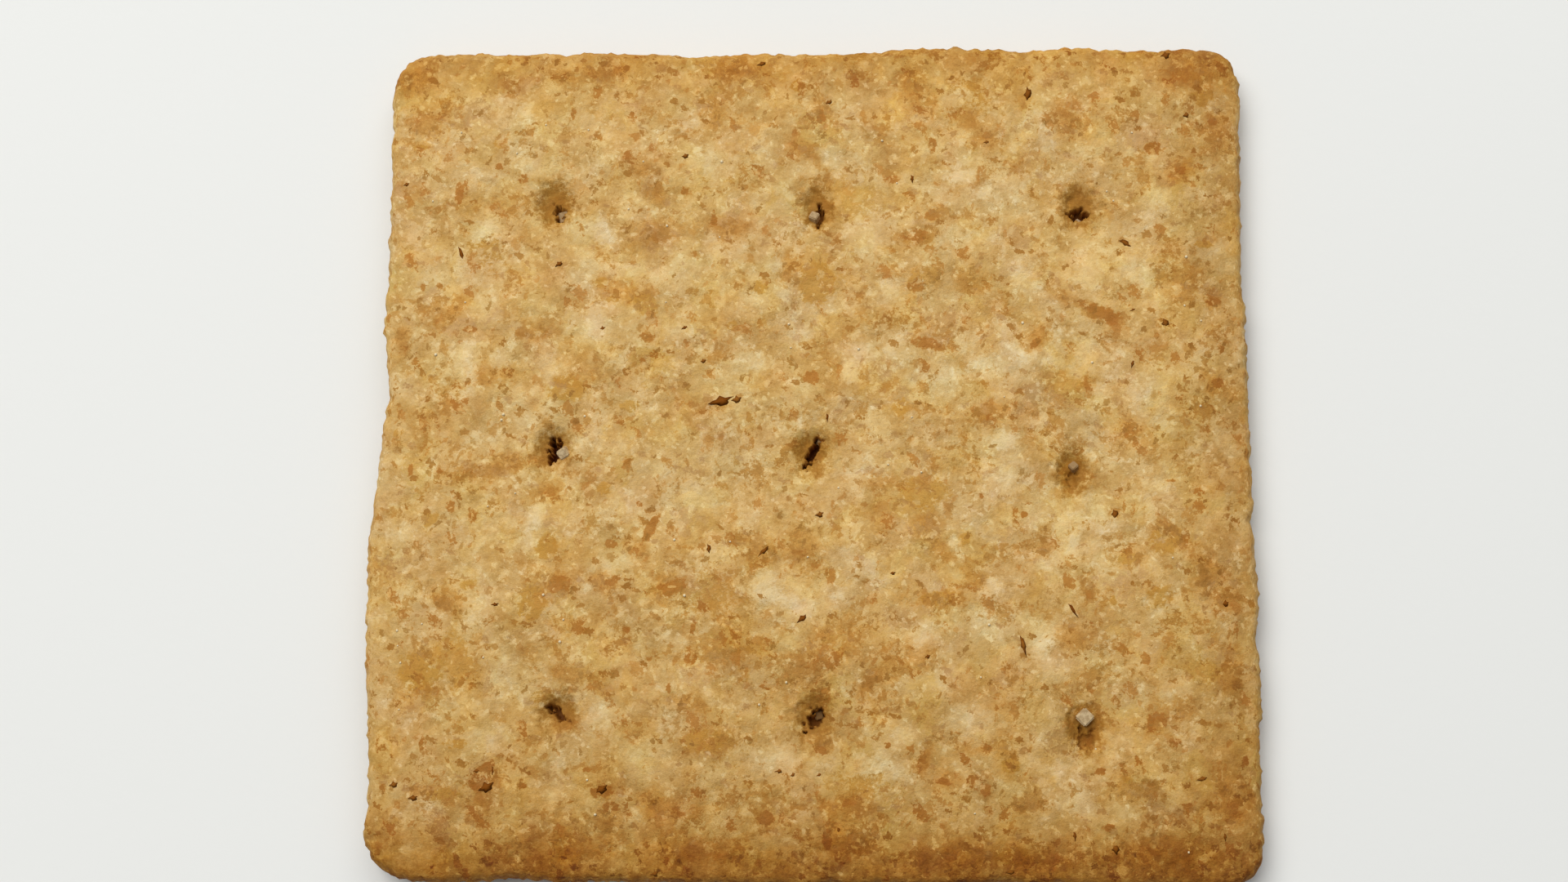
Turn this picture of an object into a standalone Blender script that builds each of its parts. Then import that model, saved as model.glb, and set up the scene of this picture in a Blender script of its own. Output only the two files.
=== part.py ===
"""A thin square wheat cracker with nine docker holes and coarse salt.

The dough is rolled to a sheet, pricked by a grid of three by three docker pins,
cut square, salted and baked. It is one piece, so it is one closed body: a relief
of blisters and pricks on top, a rounded cut edge that lifts a little off the
table, and a nearly flat underside. The salt grains are baked on, so they are
fused to the body. The origin is under the middle, on the resting plane.
"""

import math
import random

import bmesh
import bpy
from mathutils import Euler, Matrix, Vector, noise
from mathutils.geometry import delaunay_2d_cdt

# Driving dimensions. Lengths are in millimetres until the mesh is made.
MM = 0.001
WIDTH = 33.0                # along X, between the nominal cut edges
DEPTH = 32.0                # along Y
MIDDLE_TOP = 2.25           # height of the top in the middle
RIM_TOP = 1.62              # height of the top just inside the cut edge
RIM_FALL = 2.6              # how far in the top has made most of its rise
DOCK_PITCH = 9.85           # between neighbouring docker pins, both ways
DOCK_SHIFT = (0.2, -0.25)   # the grid isn't cut quite in the middle

# Corner radii, anticlockwise from the right back corner: X side, Y side, radius.
CORNERS = ((1, 1, 1.45), (-1, 1, 1.5), (-1, -1, 2.0), (1, -1, 1.5))

# Long waves of the cut edge: facing X, facing Y, then place along, reach, half width.
SIDE_WAVES = (
    (1, 0, ((-9.0, 0.10, 1.0), (-5.5, 0.12, 1.2), (7.0, -0.13, 1.6), (14.2, 0.08, 1.2))),
    (0, 1, ((-4.5, -0.17, 1.6), (0.0, -0.11, 1.5), (5.0, 0.14, 2.0), (10.0, 0.12, 0.8))),
    (-1, 0, ((13.5, 0.12, 2.0), (2.2, -0.26, 1.6), (-4.0, 0.27, 2.4), (-7.6, 0.14, 1.5),
             (-12.4, -0.18, 1.8))),
    (0, -1, ((-13.4, 0.09, 1.4), (-11.0, -0.12, 0.7), (-2.0, 0.05, 3.0), (7.0, -0.07, 2.0))),
)
TOOTH_REACH = 0.07          # fine unevenness left by the cutter
TOOTH_PITCH = 0.72
TOOTH_LAYER = 3.0           # the height in the noise from which the unevenness is read
EDGE_STEP = 0.66            # between points along the edge

# The edge's section from the underside up: inset from the outline, part of the
# height from the underside to the top there.
EDGE_SECTION = ((0.58, 0.0), (0.19, 0.10), (0.0, 0.40), (0.03, 0.68), (0.19, 0.92))
TOP_INSET = 0.52            # where the top's own surface begins

# Relief of the top: size of the waves, and height. The body swells between the pins.
BLISTERS = ((6.5, 0.16), (3.1, 0.14), (1.5, 0.085))
BLISTER_LAYER = 11.0
RIM_BLISTERS = 0.45         # part of that relief which reaches the cut edge
SINK_RADIUS = 2.5
SINK_DEPTH = 0.17
SINK_LIMIT = 7.5            # beyond it a prick doesn't matter
TOP_STEP = 0.70

# Each prick is a dimple with a narrow hole in it: column, row, stray of the dimple in
# X and Y, its half width and half height, then the hole's offset in X and Y from the
# dimple, its turn in degrees, half length, half width, and depth under the dimple.
DIMPLE_DEPTH = 0.26
PRICKS = (
    (-1, 1, -0.20, -0.05, 0.60, 0.78, 0.13, -0.30, 100.0, 0.36, 0.20, 0.42),
    (0, 1, 0.10, -0.25, 0.52, 0.78, 0.06, -0.28, 88.0, 0.42, 0.17, 0.50),
    (1, 1, 0.18, -0.22, 0.54, 0.74, 0.00, -0.24, 5.0, 0.34, 0.25, 0.60),
    (-1, 0, -0.02, 0.20, 0.56, 0.66, 0.04, -0.06, 88.0, 0.54, 0.21, 0.75),
    (0, 0, -0.06, 0.02, 0.55, 0.75, -0.03, 0.03, 64.0, 0.58, 0.18, 0.75),
    (1, 0, -0.19, -0.66, 0.52, 0.76, -0.02, -0.30, 80.0, 0.34, 0.22, 0.18),
    (-1, -1, 0.50, 0.15, 0.62, 0.55, -0.06, 0.00, -40.0, 0.46, 0.17, 0.55),
    (0, -1, 0.10, 0.06, 0.60, 0.68, 0.00, -0.06, 75.0, 0.46, 0.27, 0.60),
    (1, -1, 0.09, -0.31, 0.56, 0.80, 0.02, -0.36, 85.0, 0.42, 0.30, 0.25),
)
DIMPLE_START = 1.5          # where the top begins to dip, in half sizes of the dimple
HOLE_RINGS = (0.60, 1.05)   # floor's edge and wall's top, in half sizes of the hole
HOLE_CLEARANCE = 1.45       # how near to a hole the dimple's own points come
DIMPLE_RINGS = (1.25, 1.75)
SLOPE_RING = 0.85
RING_POINTS = 10
RING_CLEARANCE = 0.35       # between the outer ring and the points of the open top

# Underside: slightly cupped, so that it rests on a low spot near each corner and a
# level one by the middle, with hollows where steam lifted it, and the pins' marks.
FEET = ((12.4, 11.7), (-12.1, 11.9), (-12.6, -11.6), (12.2, -12.0))
FOOT_RADIUS = 2.2
CUP_HEIGHT = 0.12
HOLLOW_PITCH = 4.2
HOLLOW_DEPTH = 0.32
HOLLOW_START = 0.10
HOLLOW_LAYER = 40.0
PIN_MARK_RADIUS = 0.9
PIN_MARK_DEPTH = 0.22
LIFT_WIDTH = 2.6            # the outer band that curls up off the table
LIFT_HEIGHT = 0.26
LIFT_WAVE = (7.0, 0.16)     # the curl varies: pitch, height
LIFT_LAYER = 60.0
UNDER_STEP = 1.25
BASE_SPOT = (4.9, -4.6)
BASE_RADIUS = 1.5
BASE_RING_POINTS = 12
MARK_RINGS = (0.3, 1.2)     # rings round a pin's mark, in radii of the mark
MARK_RING_POINTS = 8
FOOT_CLEARANCE = 1.0        # between a foot and the points round it

POINT_JITTER = 0.14         # of the points' spacing
MERGE_DISTANCE = 1e-6
TOP_SEED = 31
UNDER_SEED = 32
CLEAR_SHARE = 0.62          # of the points' spacing, kept free inside the edge

# Coarse salt: the prick it lies in, offset from its dimple, size, and turn in degrees.
SALT = (
    (8, (-0.02, 0.44), 0.52, (4.0, -3.0, 45.0)),
    (0, (0.25, -0.37), 0.40, (18.0, 12.0, 20.0)),
    (1, (-0.15, -0.36), 0.34, (-14.0, 18.0, 62.0)),
    (3, (0.42, -0.16), 0.38, (16.0, -22.0, 30.0)),
    (4, (0.27, 0.52), 0.22, (10.0, 24.0, 70.0)),
    (5, (0.03, 0.22), 0.30, (-20.0, 10.0, 40.0)),
    (7, (0.09, 0.12), 0.30, (18.0, 14.0, 20.0)),
    (2, (0.07, -0.46), 0.28, (-10.0, -16.0, 55.0)),
)
SALT_SINK = 0.34            # part of its size by which a grain sits in the dough
SALT_BEVEL = 0.14           # part of its size

CRUMB_COLOUR = (0.57, 0.36, 0.135, 1.0)
CRUMB_ROUGHNESS = 0.72
SHARP_ANGLE = 45.0          # in degrees; steeper folds are shaded as edges


def clear_scene():
    """Start from an empty scene."""
    for item in list(bpy.data.objects):
        bpy.data.objects.remove(item, do_unlink=True)


def edge_stray(x, y, nx, ny):
    """How far the cut edge strays outwards at a point of the nominal square."""
    stray = TOOTH_REACH * noise.noise(Vector((x, y, TOOTH_LAYER)) / TOOTH_PITCH)
    for facing_x, facing_y, waves in SIDE_WAVES:
        facing = max(0.0, nx * facing_x + ny * facing_y)
        along = x * abs(facing_y) + y * abs(facing_x)
        for place, reach, half_width in waves:
            stray += facing * reach * math.exp(-((along - place) / half_width) ** 2)
    return stray


def nominal_outline():
    """Points and outward normals along the square with its rounded corners."""
    points = []
    for index, (side_x, side_y, radius) in enumerate(CORNERS):
        centre = Vector((side_x * (WIDTH / 2 - radius), side_y * (DEPTH / 2 - radius)))
        arc_steps = round(radius * math.pi / 2 / EDGE_STEP)
        for step in range(arc_steps + 1):
            angle = math.pi / 2 * (index + step / arc_steps)
            normal = Vector((math.cos(angle), math.sin(angle)))
            points.append((centre + radius * normal, normal))
        next_x, next_y, next_radius = CORNERS[(index + 1) % 4]
        target = Vector((next_x * (WIDTH / 2 - next_radius), next_y * (DEPTH / 2 - next_radius)))
        target += next_radius * normal
        start = points[-1][0]
        straight_steps = round((target - start).length / EDGE_STEP)
        for step in range(1, straight_steps):
            points.append((start.lerp(target, step / straight_steps), normal))
    return points


def cut_outline():
    """The real outline, uneven, with the middle of its box at the origin."""
    uneven = [(point + edge_stray(*point, *normal) * normal, normal)
              for point, normal in nominal_outline()]
    low_x = min(point.x for point, normal in uneven)
    high_x = max(point.x for point, normal in uneven)
    low_y = min(point.y for point, normal in uneven)
    high_y = max(point.y for point, normal in uneven)
    middle = Vector((low_x + high_x, low_y + high_y)) / 2
    return [(point - middle, normal) for point, normal in uneven]


def dimple_distance(x, y, prick):
    """Distance from the middle of a dimple, 1 at its nominal rim."""
    centre = dimple_centre(prick)
    half_width, half_height = prick[4:6]
    return math.hypot((x - centre.x) / half_width, (y - centre.y) / half_height)


def dimple_centre(prick):
    """Middle of a dimple."""
    column, row, stray_x, stray_y = prick[:4]
    return Vector((column * DOCK_PITCH + DOCK_SHIFT[0] + stray_x,
                   row * DOCK_PITCH + DOCK_SHIFT[1] + stray_y))


def hole_frame(prick):
    """Middle, turn, half length and half width of a dimple's narrow hole."""
    turn, half_length, half_width = prick[8:11]
    return dimple_centre(prick) + Vector(prick[6:8]), math.radians(turn), half_length, half_width


def hole_distance(x, y, prick):
    """Distance from the middle of a narrow hole, 1 at its nominal mouth."""
    centre, turn, half_length, half_width = hole_frame(prick)
    along = (x - centre.x) * math.cos(turn) + (y - centre.y) * math.sin(turn)
    across = (y - centre.y) * math.cos(turn) - (x - centre.x) * math.sin(turn)
    return math.hypot(along / half_length, across / half_width)


def smooth(value):
    """A step from 0 to 1 with level ends."""
    value = min(1.0, max(0.0, value))
    return value * value * (3 - 2 * value)


def inward(x, y):
    """Distance in from the nearest nominal edge."""
    return min(WIDTH / 2 - abs(x), DEPTH / 2 - abs(y))


def top_height(x, y):
    """Height of the baked top at a point."""
    rise = 1 - math.exp(-max(0.0, inward(x, y)) / RIM_FALL)
    height = RIM_TOP + (MIDDLE_TOP - RIM_TOP) * rise
    share = RIM_BLISTERS + (1 - RIM_BLISTERS) * rise
    for layer, (pitch, amount) in enumerate(BLISTERS):
        height += amount * share * noise.noise(Vector((x / pitch, y / pitch, BLISTER_LAYER * layer)))
    floor, mouth = HOLE_RINGS
    for prick in PRICKS:
        reach = (Vector((x, y)) - dimple_centre(prick)).length
        if reach > SINK_LIMIT:
            continue
        height -= SINK_DEPTH * math.exp(-(reach / SINK_RADIUS) ** 2)
        height -= DIMPLE_DEPTH * smooth(DIMPLE_START - dimple_distance(x, y, prick))
        height -= prick[-1] * smooth((mouth - hole_distance(x, y, prick)) / (mouth - floor))
    return height


def under_height(x, y):
    """Height of the underside: cupped between its feet, with hollows and pin marks."""
    pitch, reach = LIFT_WAVE
    curl = LIFT_HEIGHT + reach * noise.noise(Vector((x / pitch, y / pitch, LIFT_LAYER)))
    lifted = curl * smooth(1 - inward(x, y) / LIFT_WIDTH)
    wave = noise.noise(Vector((x / HOLLOW_PITCH, y / HOLLOW_PITCH, HOLLOW_LAYER)))
    hollow = CUP_HEIGHT + HOLLOW_DEPTH * max(0.0, wave - HOLLOW_START)
    for prick in PRICKS:
        reach = (Vector((x, y)) - dimple_centre(prick)).length
        hollow += PIN_MARK_DEPTH * smooth(MARK_RINGS[1] - reach / PIN_MARK_RADIUS)
    for foot in FEET:
        reach = (Vector((x, y)) - Vector(foot)).length
        hollow *= 1 - math.exp(-(reach / FOOT_RADIUS) ** 2)
    from_base = (Vector((x, y)) - Vector(BASE_SPOT)).length
    return lifted + hollow * smooth(from_base / BASE_RADIUS - 1)


def ring(centre, turn, half_length, half_width, count):
    """Points round an ellipse."""
    points = []
    for step in range(count):
        angle = 2 * math.pi * step / count
        local = Vector((half_length * math.cos(angle), half_width * math.sin(angle)))
        points.append(centre + local @ Matrix.Rotation(-turn, 2))
    return points


def fill_points(spacing, margin, keep_out, seed):
    """A staggered grid with a seeded jitter, clear of the edge and of each circle."""
    draw = random.Random(seed)
    points = []
    row_step = spacing * math.sqrt(3) / 2
    rows = int(DEPTH / row_step) + 1
    columns = int(WIDTH / spacing) + 1
    for row in range(rows):
        for column in range(columns):
            x = (column - columns / 2 + 0.5 * (row % 2)) * spacing
            y = (row - rows / 2) * row_step
            x += draw.uniform(-POINT_JITTER, POINT_JITTER) * spacing
            y += draw.uniform(-POINT_JITTER, POINT_JITTER) * spacing
            point = Vector((x, y))
            if inward(x, y) < margin or corner_cut(x, y, margin):
                continue
            if all((point - centre).length > radius for centre, radius in keep_out):
                points.append(point)
    return points


def corner_cut(x, y, margin):
    """Whether a point lies outside the rounded corners, drawn in by a margin."""
    for side_x, side_y, radius in CORNERS:
        out_x = side_x * x - (WIDTH / 2 - radius)
        out_y = side_y * y - (DEPTH / 2 - radius)
        if out_x > 0 and out_y > 0 and math.hypot(out_x, out_y) > radius - margin:
            return True
    return False


def sheet_of_triangles(border, rings, inner):
    """Triangles over a closed border, through the rings' and the inner points."""
    points = list(border)
    edges = [(index, (index + 1) % len(border)) for index in range(len(border))]
    for loop in rings:
        first = len(points)
        points.extend(loop)
        edges.extend((first + index, first + (index + 1) % len(loop)) for index in range(len(loop)))
    points.extend(inner)
    found = delaunay_2d_cdt(points, edges, [list(range(len(border)))], 1, MERGE_DISTANCE)
    return found[0], found[2]


def add_sheet(mesh, border_verts, rings, inner, height_at, facing_up):
    """Skin one side of the body from its border loop, with its relief."""
    border = [vert.co.to_2d() for vert in border_verts]
    places, faces = sheet_of_triangles(border, rings, inner)
    verts = list(border_verts)
    for place in places[len(border):]:
        verts.append(mesh.verts.new((place.x, place.y, height_at(place.x, place.y))))
    for face in faces:
        order = face if facing_up else list(reversed(face))
        mesh.faces.new([verts[index] for index in order])


def make_body():
    """The baked dough as one closed mesh, in millimetres."""
    mesh = bmesh.new()
    outline = cut_outline()
    loops = []
    for inset, share in EDGE_SECTION + ((TOP_INSET, 1.0),):
        loop = []
        for point, normal in outline:
            low = under_height(*(point - EDGE_SECTION[0][0] * normal))
            high = top_height(*(point - TOP_INSET * normal))
            loop.append(mesh.verts.new((*(point - inset * normal), low + share * (high - low))))
        loops.append(loop)
    for lower, upper in zip(loops, loops[1:]):
        for index in range(len(outline)):
            follow = (index + 1) % len(outline)
            mesh.faces.new((lower[index], lower[follow], upper[follow], upper[index]))

    rings = []
    inner = []
    clear_of = []
    for prick in PRICKS:
        dimple = dimple_centre(prick)
        half_x, half_y = prick[4:6]
        centre, turn, half_length, half_width = hole_frame(prick)
        inner.append(centre)
        for scale in HOLE_RINGS:
            rings.append(ring(centre, turn, scale * half_length, scale * half_width, RING_POINTS))
        for point in ring(dimple, 0.0, SLOPE_RING * half_x, SLOPE_RING * half_y, RING_POINTS):
            if hole_distance(*point, prick) > HOLE_CLEARANCE:
                inner.append(point)
        for scale in DIMPLE_RINGS:
            rings.append(ring(dimple, 0.0, scale * half_x, scale * half_y, round(RING_POINTS * scale)))
        clear_of.append((dimple, DIMPLE_RINGS[-1] * max(half_x, half_y) + RING_CLEARANCE))
    inner.extend(fill_points(TOP_STEP, TOP_INSET + CLEAR_SHARE * TOP_STEP, clear_of, TOP_SEED))
    add_sheet(mesh, loops[-1], rings, inner, top_height, True)

    rings = []
    clear_of = []
    for prick in PRICKS:
        centre = dimple_centre(prick)
        for scale in MARK_RINGS:
            reach = scale * PIN_MARK_RADIUS
            rings.append(ring(centre, 0.0, reach, reach, MARK_RING_POINTS))
        clear_of.append((centre, MARK_RINGS[1] * PIN_MARK_RADIUS + CLEAR_SHARE * UNDER_STEP))
    base = Vector(BASE_SPOT)
    rings.append(ring(base, 0.0, BASE_RADIUS, BASE_RADIUS, BASE_RING_POINTS))
    clear_of.append((base, BASE_RADIUS + CLEAR_SHARE * UNDER_STEP))
    feet = [Vector(foot) for foot in FEET]
    clear_of.extend((foot, FOOT_CLEARANCE) for foot in feet)
    margin = EDGE_SECTION[0][0] + CLEAR_SHARE * UNDER_STEP
    inner = [base] + feet + fill_points(UNDER_STEP, margin, clear_of, UNDER_SEED)
    add_sheet(mesh, loops[0], rings, inner, under_height, False)

    bmesh.ops.triangulate(mesh, faces=mesh.faces[:])
    bmesh.ops.recalc_face_normals(mesh, faces=mesh.faces[:])
    return mesh


def crumb_material():
    """Baked wheat crumb, matt and toasted."""
    material = bpy.data.materials.new("baked_crumb")
    material.use_nodes = True
    shader = material.node_tree.nodes["Principled BSDF"]
    shader.inputs["Base Color"].default_value = CRUMB_COLOUR
    shader.inputs["Roughness"].default_value = CRUMB_ROUGHNESS
    shader.inputs["Metallic"].default_value = 0.0
    return material


def finish_object(name, mesh):
    """Turn a mesh in millimetres into an object in metres."""
    mesh.transform(Matrix.Scale(MM, 4))
    data = bpy.data.meshes.new(name)
    mesh.to_mesh(data)
    mesh.free()
    item = bpy.data.objects.new(name, data)
    bpy.context.scene.collection.objects.link(item)
    return item


def make_salt():
    """One bevelled crystal for each grain, set into the top where it fell."""
    grains = []
    for number, (prick, offset, size, turn) in enumerate(SALT):
        place = dimple_centre(PRICKS[prick]) + Vector(offset)
        height = top_height(*place) + size * (0.5 - SALT_SINK)
        mesh = bmesh.new()
        bmesh.ops.create_cube(mesh, size=size)
        bmesh.ops.bevel(mesh, geom=mesh.edges[:], offset=SALT_BEVEL * size, segments=1, affect="EDGES")
        spin = Euler([math.radians(angle) for angle in turn]).to_matrix().to_4x4()
        mesh.transform(Matrix.Translation((place.x, place.y, height)) @ spin)
        bmesh.ops.triangulate(mesh, faces=mesh.faces[:])
        grains.append(finish_object("salt_%d" % number, mesh))
    return grains


def fuse(body, grains):
    """Join the grains to the dough in one union, then drop the loose grains."""
    pile = bpy.data.collections.new("salt_grains")
    bpy.context.scene.collection.children.link(pile)
    for grain in grains:
        pile.objects.link(grain)
    union = body.modifiers.new("baked_on", "BOOLEAN")
    union.operation = "UNION"
    union.operand_type = "COLLECTION"
    union.collection = pile
    union.solver = "EXACT"
    joined = bpy.data.meshes.new_from_object(body.evaluated_get(bpy.context.evaluated_depsgraph_get()))
    body.modifiers.clear()
    body.data = joined
    for grain in grains:
        bpy.data.objects.remove(grain, do_unlink=True)
    bpy.data.collections.remove(pile)


clear_scene()
cracker = finish_object("cracker", make_body())
fuse(cracker, make_salt())
cracker.data.name = "cracker"
cracker.data.materials.clear()
cracker.data.materials.append(crumb_material())
cracker.data.shade_smooth()
cracker.data.set_sharp_from_angle(angle=math.radians(SHARP_ANGLE))
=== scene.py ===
"""Looks of a thin square wheat cracker, lying flat and seen from nearly straight above."""

import math
import random
from collections import namedtuple

import bmesh
import bpy
import numpy as np
from mathutils import Matrix, Quaternion, Vector, noise
from mathutils.bvhtree import BVHTree
from mathutils.geometry import delaunay_2d_cdt


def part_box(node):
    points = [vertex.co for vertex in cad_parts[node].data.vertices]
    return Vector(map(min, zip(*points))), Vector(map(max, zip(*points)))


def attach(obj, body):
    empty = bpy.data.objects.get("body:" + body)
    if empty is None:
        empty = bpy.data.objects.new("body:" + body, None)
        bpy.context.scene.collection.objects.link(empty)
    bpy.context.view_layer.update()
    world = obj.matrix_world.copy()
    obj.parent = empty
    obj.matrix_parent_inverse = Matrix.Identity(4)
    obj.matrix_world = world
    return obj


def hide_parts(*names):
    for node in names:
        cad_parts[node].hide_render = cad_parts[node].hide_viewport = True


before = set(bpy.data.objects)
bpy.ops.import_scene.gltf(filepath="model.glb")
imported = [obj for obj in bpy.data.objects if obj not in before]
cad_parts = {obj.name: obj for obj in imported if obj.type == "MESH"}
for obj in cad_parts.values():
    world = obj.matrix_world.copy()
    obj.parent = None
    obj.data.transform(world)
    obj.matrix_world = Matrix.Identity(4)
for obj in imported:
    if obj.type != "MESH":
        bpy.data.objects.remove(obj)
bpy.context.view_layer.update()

# The view. The camera stands over the cracker's front edge and leans back a little,
# as the photograph was taken. Its focal length is in pixels of the photograph.
MM = 0.001
PHOTO_WIDTH = 1920
FOCAL_PIXELS = 2500.0
EYE = Vector((2.25, -14.50, 77.2)) * MM
LOOK = Vector((-0.0415, 0.1922, -0.9805)).normalized()
ROLL = math.radians(0.55)
SENSOR = 36.0
CLIP_START = 0.001


def camera_axes():
    """The camera's right, up and backward directions."""
    back = -LOOK
    right = Vector((-math.sin(ROLL), math.cos(ROLL), 0.0)).cross(back).normalized()
    return right, back.cross(right), back


def placed(name, data):
    """A new object in the scene."""
    item = bpy.data.objects.new(name, data)
    bpy.context.collection.objects.link(item)
    return item


camera_data = bpy.data.cameras.new("view")
camera_data.sensor_width = SENSOR
camera_data.lens = SENSOR * FOCAL_PIXELS / PHOTO_WIDTH
camera_data.clip_start = CLIP_START
camera = placed("view", camera_data)
camera.matrix_world = Matrix.Translation(EYE) @ Matrix(camera_axes()).transposed().to_4x4()
bpy.context.scene.camera = camera

# The light: a large soft box high on the left and behind, a larger and weaker one lower
# down behind, and pale surroundings that fill the shade.
SOFT_BOXES = (
    # name, place and side in metres, power in watts
    ("soft_box", (-0.16, 0.14, 0.42), 0.30, 1.5),
    ("fill", (0.05, 0.32, 0.30), 0.45, 1.0),
)
AMBIENT = (0.93, 0.96, 1.0, 1.0)
AMBIENT_STRENGTH = 0.24

for name, place, side, watts in SOFT_BOXES:
    lamp_data = bpy.data.lights.new(name, "AREA")
    lamp_data.size = side
    lamp_data.energy = watts
    lamp = placed(name, lamp_data)
    lamp.location = place
    lamp.rotation_euler = Vector(place).to_track_quat("Z", "Y").to_euler()

world = bpy.data.worlds.new("studio")
world.use_nodes = True
world.node_tree.nodes["Background"].inputs["Color"].default_value = AMBIENT
world.node_tree.nodes["Background"].inputs["Strength"].default_value = AMBIENT_STRENGTH
bpy.context.scene.world = world
bpy.context.scene.view_settings.view_transform = "Standard"

# The floor: one sheet of plain matt white card with a faint fibre, laid flat under the
# cracker, and wide enough for every view.
FLOOR_HALF = 0.6
FLOOR_COLOUR = (0.80, 0.80, 0.765, 1.0)
FLOOR_ROUGHNESS = 0.9
FLOOR_GLOSS = 0.2
FIBRE = (0.5, 4.0, 0.6)    # size in mm, detail, roughness
FIBRE_STRENGTH = 0.12
FIBRE_RELIEF = 0.04 * MM


def put(tree, kind, values=None, **settings):
    """Add a node to a tree; sockets in values are linked, anything else is set."""
    node = tree.nodes.new(kind)
    for name, value in settings.items():
        setattr(node, name, value)
    for name, value in (values or {}).items():
        if isinstance(value, bpy.types.NodeSocket):
            tree.links.new(value, node.inputs[name])
        else:
            node.inputs[name].default_value = value
    return node


def calc(tree, operation, first, second=0.0, third=0.0):
    """The result of a Math node."""
    return put(tree, "ShaderNodeMath", {0: first, 1: second, 2: third}, operation=operation).outputs[0]


def arrow(tree, operation, first, second):
    """The result of a Vector Math node."""
    other = "Scale" if operation == "SCALE" else 1
    return put(tree, "ShaderNodeVectorMath", {0: first, other: second}, operation=operation).outputs[0]


def new_material(name, gloss):
    """A new material of a given gloss, its node tree and its Principled shader."""
    material = bpy.data.materials.new(name)
    material.use_nodes = True
    shader = material.node_tree.nodes["Principled BSDF"]
    shader.inputs["Specular IOR Level"].default_value = gloss
    return material, material.node_tree, shader


def new_group(name, kind, takes, gives):
    """A node group with named sockets of given kinds, and the outputs of its input node."""
    group = bpy.data.node_groups.new(name, kind)
    for way, sockets in (("INPUT", takes), ("OUTPUT", gives)):
        for label, socket in sockets.items():
            group.interface.new_socket(label, in_out=way, socket_type="NodeSocket" + socket)
    return group, put(group, "NodeGroupInput").outputs


def cloud_group():
    """Shader group: fractal noise whose largest lumps have a given size."""
    takes = {"Place": "Vector", "Size": "Float", "Detail": "Float", "Roughness": "Float"}
    group, given = new_group("cloud", "ShaderNodeTree", takes, {"Cloud": "Float"})
    scale = calc(group, "DIVIDE", 1.0, given["Size"])
    values = {"Vector": given["Place"], "Scale": scale, "Detail": given["Detail"],
              "Roughness": given["Roughness"]}
    put(group, "NodeGroupOutput", {"Cloud": put(group, "ShaderNodeTexNoise", values).outputs["Fac"]})
    return group


CLOUD = cloud_group()


def millimetres(tree):
    """Object coordinates in millimetres."""
    return arrow(tree, "SCALE", put(tree, "ShaderNodeTexCoord").outputs["Object"], 1 / MM)


def cloud(tree, size, detail, roughness):
    """The cloud group over a whole piece, at a size in millimetres."""
    values = {"Place": millimetres(tree), "Size": size, "Detail": detail, "Roughness": roughness}
    return put(tree, "ShaderNodeGroup", values, node_tree=CLOUD).outputs[0]


def mesh_data(mesh, name):
    """Turn a finished bmesh into mesh data."""
    data = bpy.data.meshes.new(name)
    mesh.to_mesh(data)
    mesh.free()
    return data


floor_mesh = bmesh.new()
bmesh.ops.create_grid(floor_mesh, x_segments=1, y_segments=1, size=FLOOR_HALF)
floor = placed("floor", mesh_data(floor_mesh, "floor"))
card, tree, shader = new_material("white_card", FLOOR_GLOSS)
shader.inputs["Base Color"].default_value = FLOOR_COLOUR
shader.inputs["Roughness"].default_value = FLOOR_ROUGHNESS
values = {"Strength": FIBRE_STRENGTH, "Distance": FIBRE_RELIEF, "Height": cloud(tree, *FIBRE)}
tree.links.new(put(tree, "ShaderNodeBump", values).outputs["Normal"], shader.inputs["Normal"])
floor.data.materials.append(card)


# The baked dough: a rolled sheet of whole wheat dough, pricked by a grid of three by
# three docker pins and cut square. Its top is blistered and sinks towards each prick,
# its cut edge is round and frayed, and its underside is cupped between four low spots.
WIDTH = 33.0               # its sizes are in millimetres
DEPTH = 32.0
MIDDLE_TOP = 2.25
RIM_TOP = 1.62
RIM_FALL = 2.6             # how far in the rim is lower
THICKNESS = 1.9            # of the sheet on the whole, for the marks on it
UNDER_LEAN = Vector((1.7, 1.5, 0.0))   # how far the underside's marks lie from those on top
TUCKED = 0.08              # the share of the cut edge's height that is tucked under
DOCK_PITCH = 9.85
DOCK_SHIFT = (0.2, -0.25)
CORNERS = ((1, 1, 1.45), (-1, 1, 1.5), (-1, -1, 2.0), (1, -1, 1.5))
SIDE_WAVES = (
    # side it faces in X and Y, then its waves: place along it, reach, half width
    (1, 0, ((-9.0, 0.10, 1.0), (-5.5, 0.12, 1.2), (7.0, -0.13, 1.6), (14.2, 0.08, 1.2))),
    (0, 1, ((-4.5, -0.17, 1.6), (0.0, -0.11, 1.5), (5.0, 0.14, 2.0), (10.0, 0.12, 0.8))),
    (-1, 0, ((13.5, 0.12, 2.0), (2.2, -0.26, 1.6), (-4.0, 0.27, 2.4), (-7.6, 0.14, 1.5),
             (-12.4, -0.18, 1.8))),
    (0, -1, ((-13.4, 0.09, 1.4), (-11.0, -0.12, 0.7), (-2.0, 0.05, 3.0), (7.0, -0.07, 2.0))),
)
TEETH = ((0.72, 0.07), (0.34, 0.09), (0.17, 0.06))   # unevenness of the cut: pitch, reach
TOOTH_LAYER = 3.0          # heights in the noise from which each kind of unevenness is read
BLISTER_LAYER = 11.0
HOLE_LAYER = 20.0
HOLLOW_LAYER = 40.0
LIFT_LAYER = 60.0
EDGE_STEP = 0.135          # between points round the edge
EDGE_ROUND = 0.56          # how far the rounding of the edge reaches in
EDGE_POWER = 0.6           # under 1, the edge's section is squarer than a circle
EDGE_LOOPS = 13
BLISTERS = ((6.5, 0.16), (3.1, 0.14), (1.5, 0.085))   # pitch and height of each kind
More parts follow.
